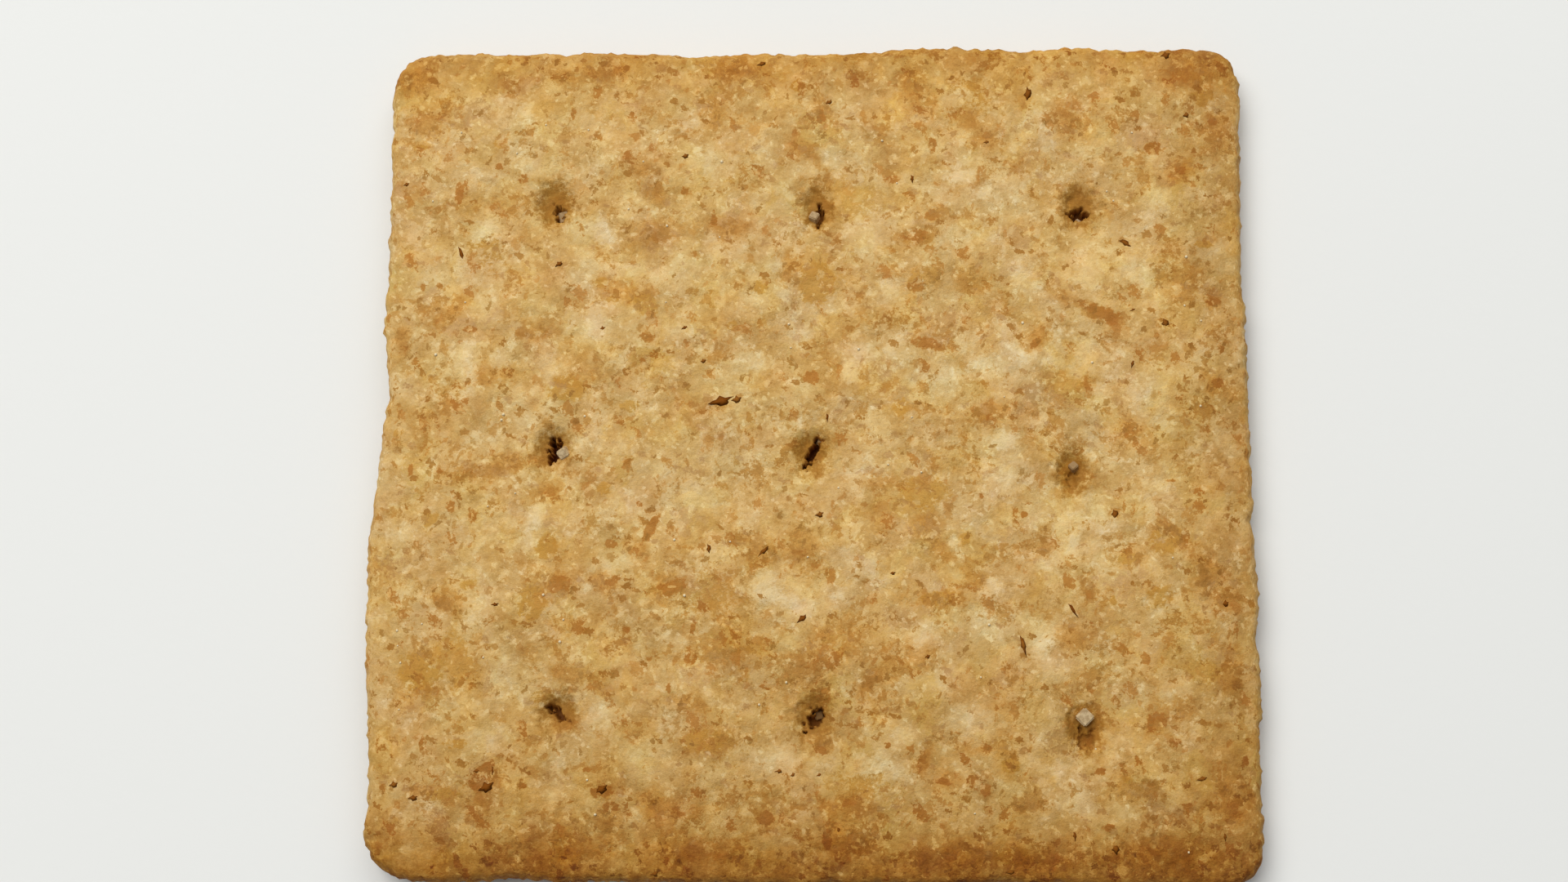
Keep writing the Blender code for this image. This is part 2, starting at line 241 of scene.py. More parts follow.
RIM_BLISTERS = 0.45        # their share at the rim
SINK_RADIUS = 2.5
SINK_DEPTH = 0.17
SINK_LIMIT = 7.5           # beyond it a prick doesn't matter
DIMPLE_DEPTH = 0.26
DIMPLE_START = 1.5         # where the top begins to dip, in half sizes of the dimple
HOLE_LIMIT = 3.0           # the same for its dimple and hole, in half sizes of the dimple
PRICKS = (
    # column, row, stray of the dimple in X and Y, its half width and half height, then its hole's offset in
    # X and Y, turn, half length, half width, depth, and how dark its hole is painted, partly as browned
    # crumb and partly as painted shade
    (-1, 1, -0.20, -0.05, 0.60, 0.78, 0.13, -0.30, 100.0, 0.36, 0.20, 0.42, 0.20),
    (0, 1, 0.10, -0.25, 0.52, 0.78, 0.06, -0.28, 88.0, 0.42, 0.17, 0.50, 0.35),
    (1, 1, 0.18, -0.22, 0.54, 0.74, 0.00, -0.24, 5.0, 0.34, 0.25, 0.60, 0.80),
    (-1, 0, -0.02, 0.20, 0.56, 0.66, 0.04, -0.06, 88.0, 0.54, 0.21, 0.75, 1.00),
    (0, 0, -0.06, 0.02, 0.55, 0.75, -0.03, 0.03, 64.0, 0.58, 0.18, 0.75, 0.90),
    (1, 0, -0.19, -0.66, 0.52, 0.76, -0.02, -0.30, 80.0, 0.34, 0.22, 0.18, 0.00),
    (-1, -1, 0.50, 0.15, 0.62, 0.55, -0.06, 0.00, -40.0, 0.46, 0.17, 0.55, 0.60),
    (0, -1, 0.10, 0.06, 0.60, 0.68, 0.00, -0.06, 75.0, 0.46, 0.27, 0.60, 0.60),
    (1, -1, 0.09, -0.31, 0.56, 0.80, 0.02, -0.36, 85.0, 0.42, 0.30, 0.25, 0.15),
)
HOLE_FLOOR = 0.60          # where the hole's floor ends and its wall ends, in half sizes
HOLE_MOUTH = 1.05
HOLE_FRAYS = ((0.21, 0.42), (0.08, 0.22))   # unevenness of a hole's mouth: pitch, reach
HOLLOW_PITCH = 4.2
HOLLOW_DEPTH = 0.32
HOLLOW_START = 0.10
PIN_MARK_RADIUS = 0.9
PIN_MARK_DEPTH = 0.22
PIN_MARK_START = 1.2       # where a pin's mark begins, in its radii
LIFT_WIDTH = 2.6
LIFT_HEIGHT = 0.26
LIFT_WAVE = (7.0, 0.16)
FEET = ((12.4, 11.7), (-12.1, 11.9), (-12.6, -11.6), (12.2, -12.0))
FOOT_RADIUS = 2.2
CUP_HEIGHT = 0.12
TOP_STEP = 0.15            # between points of the mesh on top, in the pricks and below
PRICK_STEP = 0.055
UNDER_STEP = 0.36
PRICK_REACH = 1.10
POINT_JITTER = 0.2         # of the points' spacing
POINT_CLEARANCE = 0.5      # in spacings of the points on top
UNDER_CLEARANCE = 0.6
TOP_SEED = 5
UNDER_SEED = 6
PRICK_SEED = 50
MERGE_DISTANCE = 1e-7

Prick = namedtuple("Prick", ("dimple", "halves", "hole", "depth", "dark"))
pricks = []
for column, row, stray_x, stray_y, wide, tall, hole_x, hole_y, turn, *sides, depth, dark in PRICKS:
    dimple = Vector((column * DOCK_PITCH + DOCK_SHIFT[0] + stray_x,
                     row * DOCK_PITCH + DOCK_SHIFT[1] + stray_y))
    hole = (dimple + Vector((hole_x, hole_y)), math.radians(turn), *sides)
    pricks.append(Prick(dimple, (wide, tall), hole, depth, dark))


def smooth(value):
    """A step from 0 to 1 with level ends."""
    value = min(1.0, max(0.0, value))
    return value * value * (3 - 2 * value)


def waves(x, y, pitch, layer):
    """Smooth noise from -1 to 1 over the sheet, read at a height of its own."""
    return noise.noise(Vector((x / pitch, y / pitch, layer)))


def inward(x, y):
    """Distance in from the nearest nominal edge."""
    return min(WIDTH / 2 - abs(x), DEPTH / 2 - abs(y))


def edge_stray(x, y, nx, ny):
    """How far the cut edge strays outwards at a point of the nominal square."""
    stray = sum(reach * noise.noise(Vector((x, y, TOOTH_LAYER)) / pitch) for pitch, reach in TEETH)
    for facing_x, facing_y, bulges in SIDE_WAVES:
        facing = max(0.0, nx * facing_x + ny * facing_y)
        along = x * abs(facing_y) + y * abs(facing_x)
        for place, reach, half_width in bulges:
            stray += facing * reach * math.exp(-((along - place) / half_width) ** 2)
    return stray


def cut_outline():
    """Points and outward normals of the cut edge, fitted to the middle of the frame's box."""
    points = []
    for index, (side_x, side_y, radius) in enumerate(CORNERS):
        centre = Vector((side_x * (WIDTH / 2 - radius), side_y * (DEPTH / 2 - radius)))
        arc_steps = round(radius * math.pi / 2 / EDGE_STEP)
        for step in range(arc_steps + 1):
            angle = math.pi / 2 * (index + step / arc_steps)
            normal = Vector((math.cos(angle), math.sin(angle)))
            points.append((centre + radius * normal, normal))
        next_x, next_y, next_radius = CORNERS[(index + 1) % 4]
        target = Vector((next_x * (WIDTH / 2 - next_radius), next_y * (DEPTH / 2 - next_radius)))
        target += next_radius * normal
        start = points[-1][0]
        straight_steps = round((target - start).length / EDGE_STEP)
        for step in range(1, straight_steps):
            points.append((start.lerp(target, step / straight_steps), normal))
    uneven = [(point + edge_stray(*point, *normal) * normal, normal) for point, normal in points]
    xs = [point.x for point, normal in uneven]
    ys = [point.y for point, normal in uneven]
    low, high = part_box("cracker")
    middle = Vector((min(xs) + max(xs), min(ys) + max(ys))) / 2
    shift = (low + high).to_2d() / 2 / MM - middle
    return [(point + shift, normal) for point, normal in uneven]


def hole_distance(x, y, hole):
    """Distance from the middle of a narrow hole, 1 at its nominal mouth."""
    centre, turn, long_half, short_half = hole
    along = (x - centre.x) * math.cos(turn) + (y - centre.y) * math.sin(turn)
    across = (y - centre.y) * math.cos(turn) - (x - centre.x) * math.sin(turn)
    fray = sum(2 * reach * waves(x, y, pitch, HOLE_LAYER) for pitch, reach in HOLE_FRAYS)
    return math.hypot(along / long_half, across / short_half) + fray


def top_height(x, y):
    """Height of the baked top at a point."""
    rise = 1 - math.exp(-max(0.0, inward(x, y)) / RIM_FALL)
    height = RIM_TOP + (MIDDLE_TOP - RIM_TOP) * rise
    share = RIM_BLISTERS + (1 - RIM_BLISTERS) * rise
    for layer, (pitch, amount) in enumerate(BLISTERS):
        height += amount * share * waves(x, y, pitch, BLISTER_LAYER * layer)
    for prick in pricks:
        away = Vector((x, y)) - prick.dimple
        reach = away.length
        if reach > SINK_LIMIT:
            continue
        height -= SINK_DEPTH * math.exp(-(reach / SINK_RADIUS) ** 2)
        scaled = math.hypot(away.x / prick.halves[0], away.y / prick.halves[1])
        if scaled > HOLE_LIMIT:
            continue
        height -= DIMPLE_DEPTH * smooth(DIMPLE_START - scaled)
        sunk = (HOLE_MOUTH - hole_distance(x, y, prick.hole)) / (HOLE_MOUTH - HOLE_FLOOR)
        height -= prick.depth * smooth(sunk)
    return height


def under_height(x, y):
    """Height of the underside: cupped between its feet, with hollows and pin marks."""
    pitch, reach = LIFT_WAVE
    curl = LIFT_HEIGHT + reach * waves(x, y, pitch, LIFT_LAYER)
    lifted = curl * smooth(1 - inward(x, y) / LIFT_WIDTH)
    hollow = CUP_HEIGHT + HOLLOW_DEPTH * max(0.0, waves(x, y, HOLLOW_PITCH, HOLLOW_LAYER) - HOLLOW_START)
    for prick in pricks:
        reach = (Vector((x, y)) - prick.dimple).length
        hollow += PIN_MARK_DEPTH * smooth(PIN_MARK_START - reach / PIN_MARK_RADIUS)
    for foot in FEET:
        reach = (Vector((x, y)) - Vector(foot)).length
        hollow *= 1 - math.exp(-(reach / FOOT_RADIUS) ** 2)
    return lifted + hollow


def staggered(spacing, half_width, half_depth, middle, seed):
    """A staggered grid of points with a seeded jitter."""
    draw = np.random.default_rng(seed)
    row_step = spacing * math.sqrt(3) / 2
    rows = int(2 * half_depth / row_step) + 1
    columns = int(2 * half_width / spacing) + 1
    row, column = np.mgrid[0:rows, 0:columns]
    x = (column - columns / 2 + 0.5 * (row % 2)) * spacing + middle[0]
    y = (row - rows / 2) * row_step + middle[1]
    grid = np.stack([x, y], -1).reshape(-1, 2)
    return grid + draw.uniform(-POINT_JITTER, POINT_JITTER, grid.shape) * spacing


def sheet_points(spacing, clearance, seed):
    """Points over the whole sheet, clear of its rounded edge."""
    grid = staggered(spacing, WIDTH / 2, DEPTH / 2, (0, 0), seed)
    margin = EDGE_ROUND + clearance * spacing
    keep = np.minimum(WIDTH / 2 - abs(grid[:, 0]), DEPTH / 2 - abs(grid[:, 1])) > margin
    for side_x, side_y, radius in CORNERS:
        out = np.stack([side_x * grid[:, 0] - (WIDTH / 2 - radius),
                        side_y * grid[:, 1] - (DEPTH / 2 - radius)], -1)
        keep &= ~((out > 0).all(1) & (np.hypot(*out.T) > radius - margin))
    return grid[keep]


def top_points():
    """Inner points of the top: a fine grid, and a finer one in each prick."""
    grid = sheet_points(TOP_STEP, POINT_CLEARANCE, TOP_SEED)
    patches = []
    inside = PRICK_REACH - POINT_CLEARANCE * PRICK_STEP
    for number, prick in enumerate(pricks):
        grid = grid[np.hypot(*(grid - prick.dimple).T) > PRICK_REACH]
        patch = staggered(PRICK_STEP, PRICK_REACH, PRICK_REACH, prick.dimple, PRICK_SEED + number)
        patches.append(patch[np.hypot(*(patch - prick.dimple).T) < inside])
    return np.concatenate([grid] + patches)


def under_points():
    """Inner points of the underside, with one at each foot."""
    grid = sheet_points(UNDER_STEP, UNDER_CLEARANCE, UNDER_SEED)
    for foot in FEET:
        grid = grid[np.hypot(*(grid - foot).T) > UNDER_CLEARANCE * UNDER_STEP]
    return np.concatenate([grid, np.array(FEET)])


def skin(mesh, border, inner, height_at, facing_up, drop, lean):
    """Cover one side of the body from its border loop through its inner points."""
    drops = mesh.verts.layers.float["drop"]
    leans = mesh.verts.layers.float_vector["lean"]
    points = [vert.co.to_2d() for vert in border] + [Vector(point) for point in inner]
    count = len(border)
    edges = [(index, (index + 1) % count) for index in range(count)]
    found = delaunay_2d_cdt(points, edges, [list(range(count))], 1, MERGE_DISTANCE)
    verts = list(border)
    for place in found[0][count:]:
        verts.append(mesh.verts.new((*place, height_at(*place))))
        verts[-1][drops] = drop
        verts[-1][leans] = lean
    for face in found[2]:
        mesh.faces.new([verts[index] for index in (face if facing_up else reversed(face))])


def dough_sheet():
    """The body as a closed mesh in metres, at the sizes of the solid."""
    mesh = bmesh.new()
    drops = mesh.verts.layers.float.new("drop")
    leans = mesh.verts.layers.float_vector.new("lean")
    outline = cut_outline()
    lows = [under_height(*(point - EDGE_ROUND * normal)) for point, normal in outline]
    highs = [top_height(*(point - EDGE_ROUND * normal)) for point, normal in outline]
    loops = []
    for step in range(EDGE_LOOPS):
        angle = math.pi * (step / (EDGE_LOOPS - 1) - 0.5)
        inset = EDGE_ROUND * (1 - abs(math.cos(angle)) ** EDGE_POWER)
        share = 0.5 + 0.5 * math.sin(angle)
        loop = []
        for (point, normal), low, high in zip(outline, lows, highs):
            loop.append(mesh.verts.new((*(point - inset * normal), low + share * (high - low))))
            drop = (1 - share) * THICKNESS
            loop[-1][drops] = drop
            loop[-1][leans] = (drop * normal).to_3d().lerp(UNDER_LEAN, smooth(1 - share / TUCKED))
        loops.append(loop)
    for lower, upper in zip(loops, loops[1:]):
        for index in range(len(outline)):
            follow = (index + 1) % len(outline)
            mesh.faces.new((lower[index], lower[follow], upper[follow], upper[index]))
    skin(mesh, loops[-1], top_points(), top_height, True, 0.0, Vector())
    skin(mesh, loops[0], under_points(), under_height, False, THICKNESS, UNDER_LEAN)
    bmesh.ops.triangulate(mesh, faces=mesh.faces[:])
    bmesh.ops.recalc_face_normals(mesh, faces=mesh.faces[:])
    mesh.transform(Matrix.Scale(MM, 4))
    return mesh_data(mesh, "dough")


# What the oven and the bran did to the dough, where the photograph shows it most plainly:
# pixel across and down, length and width in pixels, and the turn in degrees if it is turned.
# The places are found by looking through the camera.
PHOTO_HEIGHT = 1080
MARKS = {
    "amber": (   # glassy, darker patches
        (695, 476, 50, 36), (1133, 602, 62, 50), (652, 738, 50, 44, 80), (1103, 500, 28, 20, 90),
        (662, 852, 26, 18, 20), (740, 597, 22, 18), (771, 496, 26, 16), (932, 351, 24, 18, 80),
        (897, 398, 16, 14), (612, 175, 20, 12), (511, 177, 22, 9), (976, 101, 20, 16), (1475, 114, 28, 22),
        (750, 368, 18, 14), (736, 344, 18, 15), (790, 373, 32, 28), (1475, 296, 24, 11),
        (485, 527, 14, 12), (523, 633, 26, 22), (669, 668, 32, 28, 60), (1152, 731, 52, 20, 10),
        (572, 715, 22, 14), (1238, 937, 24, 20), (1382, 954, 14, 12), (1363, 735, 15, 10, 90),
        (1381, 682, 26, 18), (556, 910, 30, 14), (540, 972, 42, 16, 10), (1428, 659, 42, 38, 20),
        (860, 908, 62, 30), (1000, 345, 62, 48, 90), (512, 820, 60, 54), (1420, 730, 40, 26, 40),
        (1180, 660, 24, 16, 30), (1240, 1050, 50, 24, 5),
    ),
    "bran": (   # flat flakes of bran
        (748, 666, 18, 12), (796, 648, 46, 13, 60), (1138, 422, 46, 16, 165), (1355, 385, 50, 20, 160),
        (1413, 179, 20, 18), (1416, 883, 34, 19, 30), (1440, 909, 18, 12), (1206, 967, 20, 16),
        (1211, 993, 14, 10, 90), (932, 690, 24, 10, 10), (685, 715, 30, 20), (749, 712, 28, 10, 30),
        (1010, 809, 46, 24, 20), (561, 236, 35, 11, 90), (684, 90, 20, 8), (611, 203, 11, 10),
        (638, 218, 14, 12), (1142, 175, 22, 11, 90), (1091, 219, 20, 12), (1006, 141, 18, 14, 90),
        (840, 233, 13, 11), (1487, 144, 14, 11), (1447, 206, 15, 12), (992, 462, 26, 16),
        (1120, 290, 30, 18), (1141, 264, 20, 14), (1122, 351, 26, 16, 20), (1230, 380, 13, 11),
        (1267, 420, 26, 10, 45), (1489, 366, 18, 13), (1496, 423, 18, 10, 90), (1494, 467, 18, 14),
        (576, 402, 18, 10), (516, 348, 12, 9), (537, 348, 11, 9), (793, 414, 18, 14), (787, 442, 10, 9),
        (673, 602, 22, 11, 10), (537, 576, 9, 9), (500, 574, 18, 8, 90), (550, 619, 16, 11, 90),
        (577, 630, 20, 13, 90), (783, 617, 9, 8), (1202, 607, 8, 6, 90), (1254, 629, 10, 8),
        (1481, 524, 10, 8, 90), (1435, 586, 13, 6), (1381, 532, 10, 7), (1391, 541, 10, 7),
        (766, 771, 11, 9), (845, 807, 20, 13), (822, 720, 36, 20, 20), (848, 769, 25, 7, 80),
        (818, 842, 16, 6, 90), (939, 840, 18, 13), (1335, 728, 14, 11, 90), (1348, 945, 16, 10),
        (1529, 932, 12, 8, 90), (638, 963, 11, 9), (577, 997, 26, 20, 90), (527, 1059, 13, 10),
        (595, 1054, 16, 11), (515, 912, 30, 10, 90), (720, 942, 14, 8), (747, 988, 20, 13),
        (1087, 912, 10, 8), (1128, 934, 34, 9, 75), (1039, 983, 20, 10), (937, 1002, 22, 18),
        (1013, 1030, 30, 11, 90), (1029, 1060, 12, 9), (1157, 957, 20, 10), (588, 952, 44, 22, 60),
        (736, 970, 26, 17), (533, 929, 9, 5), (1359, 1014, 14, 10), (1281, 983, 10, 8),
        (701, 137, 16, 7, 90),
    ),
    "husk": (   # dull grey-brown smears
        (800, 290, 48, 34), (640, 408, 22, 18), (668, 410, 20, 18), (592, 575, 64, 22, 170),
        (904, 809, 70, 44), (1206, 501, 26, 16), (1070, 576, 32, 12), (541, 738, 28, 18),
        (1477, 705, 30, 20, 90), (1405, 966, 38, 26), (1263, 988, 24, 16), (1315, 128, 20, 14),
        (979, 395, 18, 14, 90), (993, 189, 14, 11), (1324, 708, 17, 12), (800, 225, 44, 26, 60),
        (1237, 828, 54, 30, 40), (1252, 795, 26, 12, 100), (1504, 621, 12, 9), (1445, 1000, 40, 26),
    ),
    "flour": (   # floury spots
        (514, 127, 9, 8), (648, 127, 14, 12), (855, 182, 16, 10, 20), (1025, 729, 18, 12),
        (953, 762, 14, 10), (937, 710, 30, 20), (1271, 347, 16, 12), (1215, 710, 14, 10),
        (1377, 1004, 8, 7), (833, 241, 10, 8), (1310, 650, 60, 34, 80), (1230, 540, 40, 26, 20),
        (1334, 554, 26, 15, 150), (1175, 215, 40, 18, 20), (1330, 345, 46, 20, 165),
        (935, 725, 60, 30, 170), (1280, 780, 40, 26, 60), (760, 330, 40, 22), (660, 625, 50, 22, 60),
        (1040, 455, 40, 24, 80), (560, 480, 34, 20), (1211, 639, 16, 10), (1206, 234, 28, 18, 60),
        (1316, 684, 16, 10), (1168, 662, 22, 15),
    ),
    "brown": (   # areas that are browner than the rest
        (735, 82, 64, 32), (692, 90, 40, 22), (895, 80, 110, 28), (505, 95, 66, 44),
        (522, 150, 80, 50, 90), (800, 285, 84, 50, 15), (785, 208, 36, 22, -30), (803, 237, 36, 24, -60),
        (870, 135, 62, 44, -60), (655, 400, 60, 44), (550, 382, 62, 26, 45), (770, 358, 90, 30, -15),
        (490, 415, 50, 28, 90), (550, 490, 52, 36, 60), (602, 460, 60, 34), (640, 562, 110, 20),
        (890, 278, 60, 28, -15), (870, 500, 52, 24), (985, 175, 62, 36), (968, 330, 50, 38, 90),
        (1118, 98, 54, 42, 90), (1012, 148, 72, 34, -50), (1188, 148, 54, 34), (1148, 262, 46, 28),
        (1118, 292, 58, 32), (1132, 345, 60, 38), (1190, 340, 52, 42), (1230, 374, 28, 24, 90),
        (1272, 410, 62, 24, 50), (1340, 382, 100, 24, -25), (1312, 145, 62, 58), (1258, 128, 44, 24, 90),
        (1448, 205, 42, 34), (1472, 95, 76, 62), (1490, 160, 54, 42, 90), (1440, 300, 32, 20),
        (1482, 292, 42, 18, 20), (1490, 365, 32, 28), (1450, 350, 62, 46), (1490, 470, 46, 34, -30),
        (1210, 505, 62, 34), (1310, 472, 62, 28), (1392, 532, 62, 40, -45), (1135, 500, 62, 16, -5),
        (1205, 170, 60, 34), (600, 575, 110, 26, 10), (668, 602, 62, 28, 10), (932, 672, 62, 32, -20),
        (690, 712, 46, 38), (742, 715, 52, 28, -20), (820, 722, 54, 46), (545, 735, 60, 32, -20),
        (690, 765, 42, 32), (510, 826, 84, 60, 90), (700, 825, 62, 28, -10), (890, 795, 110, 60),
        (990, 822, 96, 66, 20), (740, 840, 32, 30), (830, 860, 90, 28, -10), (870, 908, 84, 34),
        (530, 970, 82, 26, -15), (582, 995, 42, 36, 60), (600, 955, 46, 32), (745, 1002, 90, 50, 90),
        (820, 990, 84, 44, -15), (940, 1005, 54, 38), (670, 1042, 120, 64), (980, 665, 66, 60),
        (1080, 590, 62, 26), (1135, 642, 54, 32), (1150, 672, 52, 26, -45), (1190, 706, 54, 32, -20),
        (1142, 733, 90, 24), (1275, 670, 62, 26, 15), (1378, 682, 54, 28, 20), (1432, 656, 60, 46, -30),
        (1480, 705, 62, 42, 90), (1502, 736, 44, 40), (1330, 722, 42, 26, 60), (1016, 790, 90, 60, 30),
        (1066, 832, 62, 32, 60), (1115, 805, 84, 52), (1000, 905, 60, 44), (1130, 935, 54, 18, 70),
        (1192, 916, 54, 22), (1235, 926, 54, 38, 90), (1160, 955, 44, 26), (1270, 986, 62, 26),
        (1385, 966, 70, 40), (1420, 882, 46, 28, 40), (1512, 822, 74, 38, 90), (1508, 982, 76, 60, 90),
        (1050, 990, 94, 38, -10), (1025, 1030, 90, 54), (1180, 1050, 150, 50), (1265, 1055, 104, 50),
        (1425, 1045, 150, 52), (1320, 778, 62, 42), (850, 1040, 110, 44), (1437, 866, 62, 50),
        (1132, 130, 60, 46, 90), (780, 668, 46, 30, -40),
    ),
    "cream": (   # areas that are paler
        (615, 120, 62, 22), (590, 160, 52, 40, -60), (592, 275, 54, 42, 45), (730, 282, 36, 34),
        (712, 320, 52, 42, 80), (870, 200, 72, 52, 20), (905, 372, 62, 46), (942, 315, 38, 34),
        (722, 402, 46, 34), (790, 472, 42, 28), (670, 446, 62, 28), (560, 430, 62, 50), (622, 540, 42, 22),
        (750, 540, 72, 38), (930, 445, 74, 32), (800, 332, 62, 30), (655, 205, 46, 34),
        (1175, 120, 62, 42), (1020, 195, 56, 26, -50), (1176, 215, 52, 22), (1216, 238, 42, 40),
        (1066, 280, 92, 60, 90), (1088, 356, 54, 48, 90), (1340, 322, 62, 50, 80), (1386, 330, 52, 42),
        (1342, 432, 74, 50, -30), (1160, 475, 56, 42, 90), (1045, 430, 62, 42, 20), (1258, 350, 42, 26),
        (1425, 240, 54, 42), (1240, 440, 92, 50), (1402, 472, 62, 50), (1018, 375, 62, 26, 20),
        (655, 645, 66, 36, 70), (600, 645, 62, 50), (758, 620, 72, 42, 20), (580, 745, 52, 34),
        (610, 825, 76, 62, 60), (560, 865, 62, 42), (830, 830, 42, 26), (872, 855, 36, 26),
        (860, 608, 72, 42), (936, 710, 46, 32, 20), (680, 970, 64, 32, -10), (800, 932, 74, 42),
        (600, 900, 62, 42), (726, 868, 54, 50), (465, 870, 62, 22, 90), (478, 650, 54, 50),
        (986, 738, 84, 46), (1090, 692, 64, 50, 60), (1172, 690, 42, 32), (1216, 718, 42, 26, 20),
        (1132, 786, 84, 42), (1328, 624, 74, 60), (1340, 676, 64, 30), (1236, 572, 76, 52, 90),
        (1428, 592, 92, 52, 30), (1202, 770, 54, 34), (1290, 814, 66, 32, -50), (1462, 795, 62, 30, -45),
        (1070, 945, 110, 52), (1282, 942, 84, 50), (1318, 985, 60, 42), (506, 1046, 110, 50),
        (765, 1062, 80, 22), (1370, 900, 84, 46), (1180, 882, 62, 36), (1105, 898, 54, 42),
        (950, 930, 62, 40), (815, 452, 64, 40), (1262, 634, 62, 34, 20),
    ),
}
BELT_REACH = 0.17          # underneath, it is browned where it lay this close to the oven's belt
PRICK_SHADE = 2.6          # how far the painted shade round a prick reaches, in half sizes of its dimple
# The second strength is painted shade: darker towards the bottom and the right side, away from the light;
# the rows below 0 paint light on the outermost rim of the left and right sides.
TOAST_SIDES = (
    # side it faces, how strongly it is browned there, how much painted shade darkens it (painted light where
    # below 0), how far in in mm
    (0, -1, 1.46, 0.14, 1.4), (0, -1, 0.0, 0.78, 7.0), (1, 0, 0.10, 0.62, 2.8), (0, 1, 0.85, 0.0, 1.8),
    (-1, 0, 0.05, 0.0, 1.0), (-1, 0, 0.0, -0.22, 0.30), (1, 0, 0.0, -0.25, 0.30),
)


def from_photo(pixel_x, pixel_y, height):
    """The place in metres, at a height over the table, that a photo pixel shows."""
    right, up, back = camera_axes()
    ray = right * (pixel_x - PHOTO_WIDTH / 2) - up * (pixel_y - PHOTO_HEIGHT / 2) - back * FOCAL_PIXELS
    return EYE + ray * (height - EYE.z) / ray.z


def pixel_span(place):
    """The length in metres that one photo pixel spans at a place."""
    return (EYE - place).length / FOCAL_PIXELS


def closeness(points, patches):
    """1 in the middle of the nearest patch, 0 at its edge, less outside."""
    field = np.full(len(points), -1.0)
    for pixel_x, pixel_y, length, width, *turn in patches:
        centre = from_photo(pixel_x, pixel_y, MIDDLE_TOP * MM)
        half = pixel_span(centre) / 2
        away = points[:, :2] - centre.to_2d()
        angle = math.radians(turn[0] if turn else 0.0)
        along = (away[:, 0] * math.cos(angle) + away[:, 1] * math.sin(angle)) / (length * half)
        across = (away[:, 1] * math.cos(angle) - away[:, 0] * math.sin(angle)) / (width * half)
        field = np.maximum(field, 1 - np.hypot(along, across))
    return field


def store(data, name, values):
    """Keep one number for each point of a mesh."""
    data.attributes.new(name, "FLOAT", "POINT").data.foreach_set("value", values.astype(np.float32))


def record_marks(data):
    """Keep where the dough is toasted, pricked, floured or branny, and where shade and light are painted on
    it, for its material.
    """
    points = np.empty(len(data.vertices) * 3)
    data.vertices.foreach_get("co", points)
    points = points.reshape(-1, 3)
    drop = np.empty(len(points))
    data.attributes["drop"].data.foreach_get("value", drop)
    upper = drop < 0.5 * THICKNESS
    belt = np.maximum(1 - points[:, 2] / MM / BELT_REACH, -1.0)
    for name, patches in MARKS.items():
        below = belt if name == "brown" else -1.0
        store(data, name, np.where(upper, closeness(points, patches), below))
    flat = points[:, :2] / MM
    toast = np.zeros(len(flat))
    painted_shading = np.zeros(len(flat))
    for side_x, side_y, browned, shaded, reach in TOAST_SIDES:
        inside = WIDTH / 2 * abs(side_x) + DEPTH / 2 * abs(side_y) - flat @ (side_x, side_y)
        near = np.exp(-(np.maximum(inside, 0.0) / reach) ** 2)
        toast += browned * near
        painted_shading += shaded * near
    store(data, "toast", toast)
    # painted shade towards the bottom and the right, and painted light on the side rims
    store(data, "painted_shading", painted_shading)
    sunk = np.full(len(flat), -1.0)
    deep = np.full(len(flat), -1.0)
    dark = np.zeros(len(flat))
    for prick in pricks:
        reach = np.hypot(*((flat - prick.dimple) / prick.halves).T)
        sunk = np.maximum(sunk, 1 - reach / PRICK_SHADE)
        for index in np.flatnonzero(upper & (reach < PRICK_SHADE)):
            deep[index] = max(deep[index], 2.0 - hole_distance(*flat[index], prick.hole))
            dark[index] = prick.dark
    # where painted shade falls round each prick and in its hole, and how dark each hole is painted
    store(data, "prick", np.where(upper, sunk, -1.0))
    store(data, "hole", deep)
    store(data, "dark", dark)


# Colours of the crumb from burnt to floury. A colour's place is its lightness, and a tint is what a kind of
# flake, a browning or a painted shade multiplies it by.
CRUMB_RAMP = (
    (0.20, (0.092, 0.019, 0.001)), (0.30, (0.143, 0.050, 0.006)), (0.40, (0.240, 0.097, 0.014)),
    (0.50, (0.344, 0.164, 0.030)), (0.60, (0.474, 0.260, 0.066)), (0.70, (0.611, 0.380, 0.129)),
    (0.80, (0.754, 0.534, 0.228)), (0.90, (0.886, 0.692, 0.355)),
)
TINTS = {
    "amber": (1.05, 0.94, 0.58, 1.0), "orange": (1.05, 0.935, 0.76, 1.0), "rust": (1.10, 0.88, 0.66, 1.0),
    "husk": (0.98, 0.97, 1.25, 1.0), "olive": (0.99, 0.98, 0.98, 1.0), "straw": (0.99, 1.01, 0.74, 1.0),
    "painted_dimple_shade": (1.03, 0.97, 0.74, 1.0), "toast": (1.06, 0.965, 0.74, 1.0), "cream": (0.99, 1.01, 1.08, 1.0),
}
GREEN_DRIFT = 0.46         # how far the green drifts, the blue alone, and the blue with the green
BLUE_DRIFT = 0.75
SHARED_DRIFT = 1.35

# Noises over the sheet: size of the largest lumps in mm, detail, roughness.
WARP = (1.25, 5.0, 0.70)
DRIFT = (2.0, 6.0, 0.71)
TEAR = (0.40, 5.0, 0.75)
MOTTLE = (1.7, 6.0, 0.86)
RAGGED = (0.9, 5.0, 0.78)
GRAIN = (0.12, 2.0, 0.7)
BEND = 2.2                 # how far the warp shifts large patterns, and small ones, in mm
SWAY = 0.6
LARGE = 0.8                # patterns over this size in mm are bent, the others sway
SHRED = 1.1                # the weight of the grain in the fraying of a flake's rim

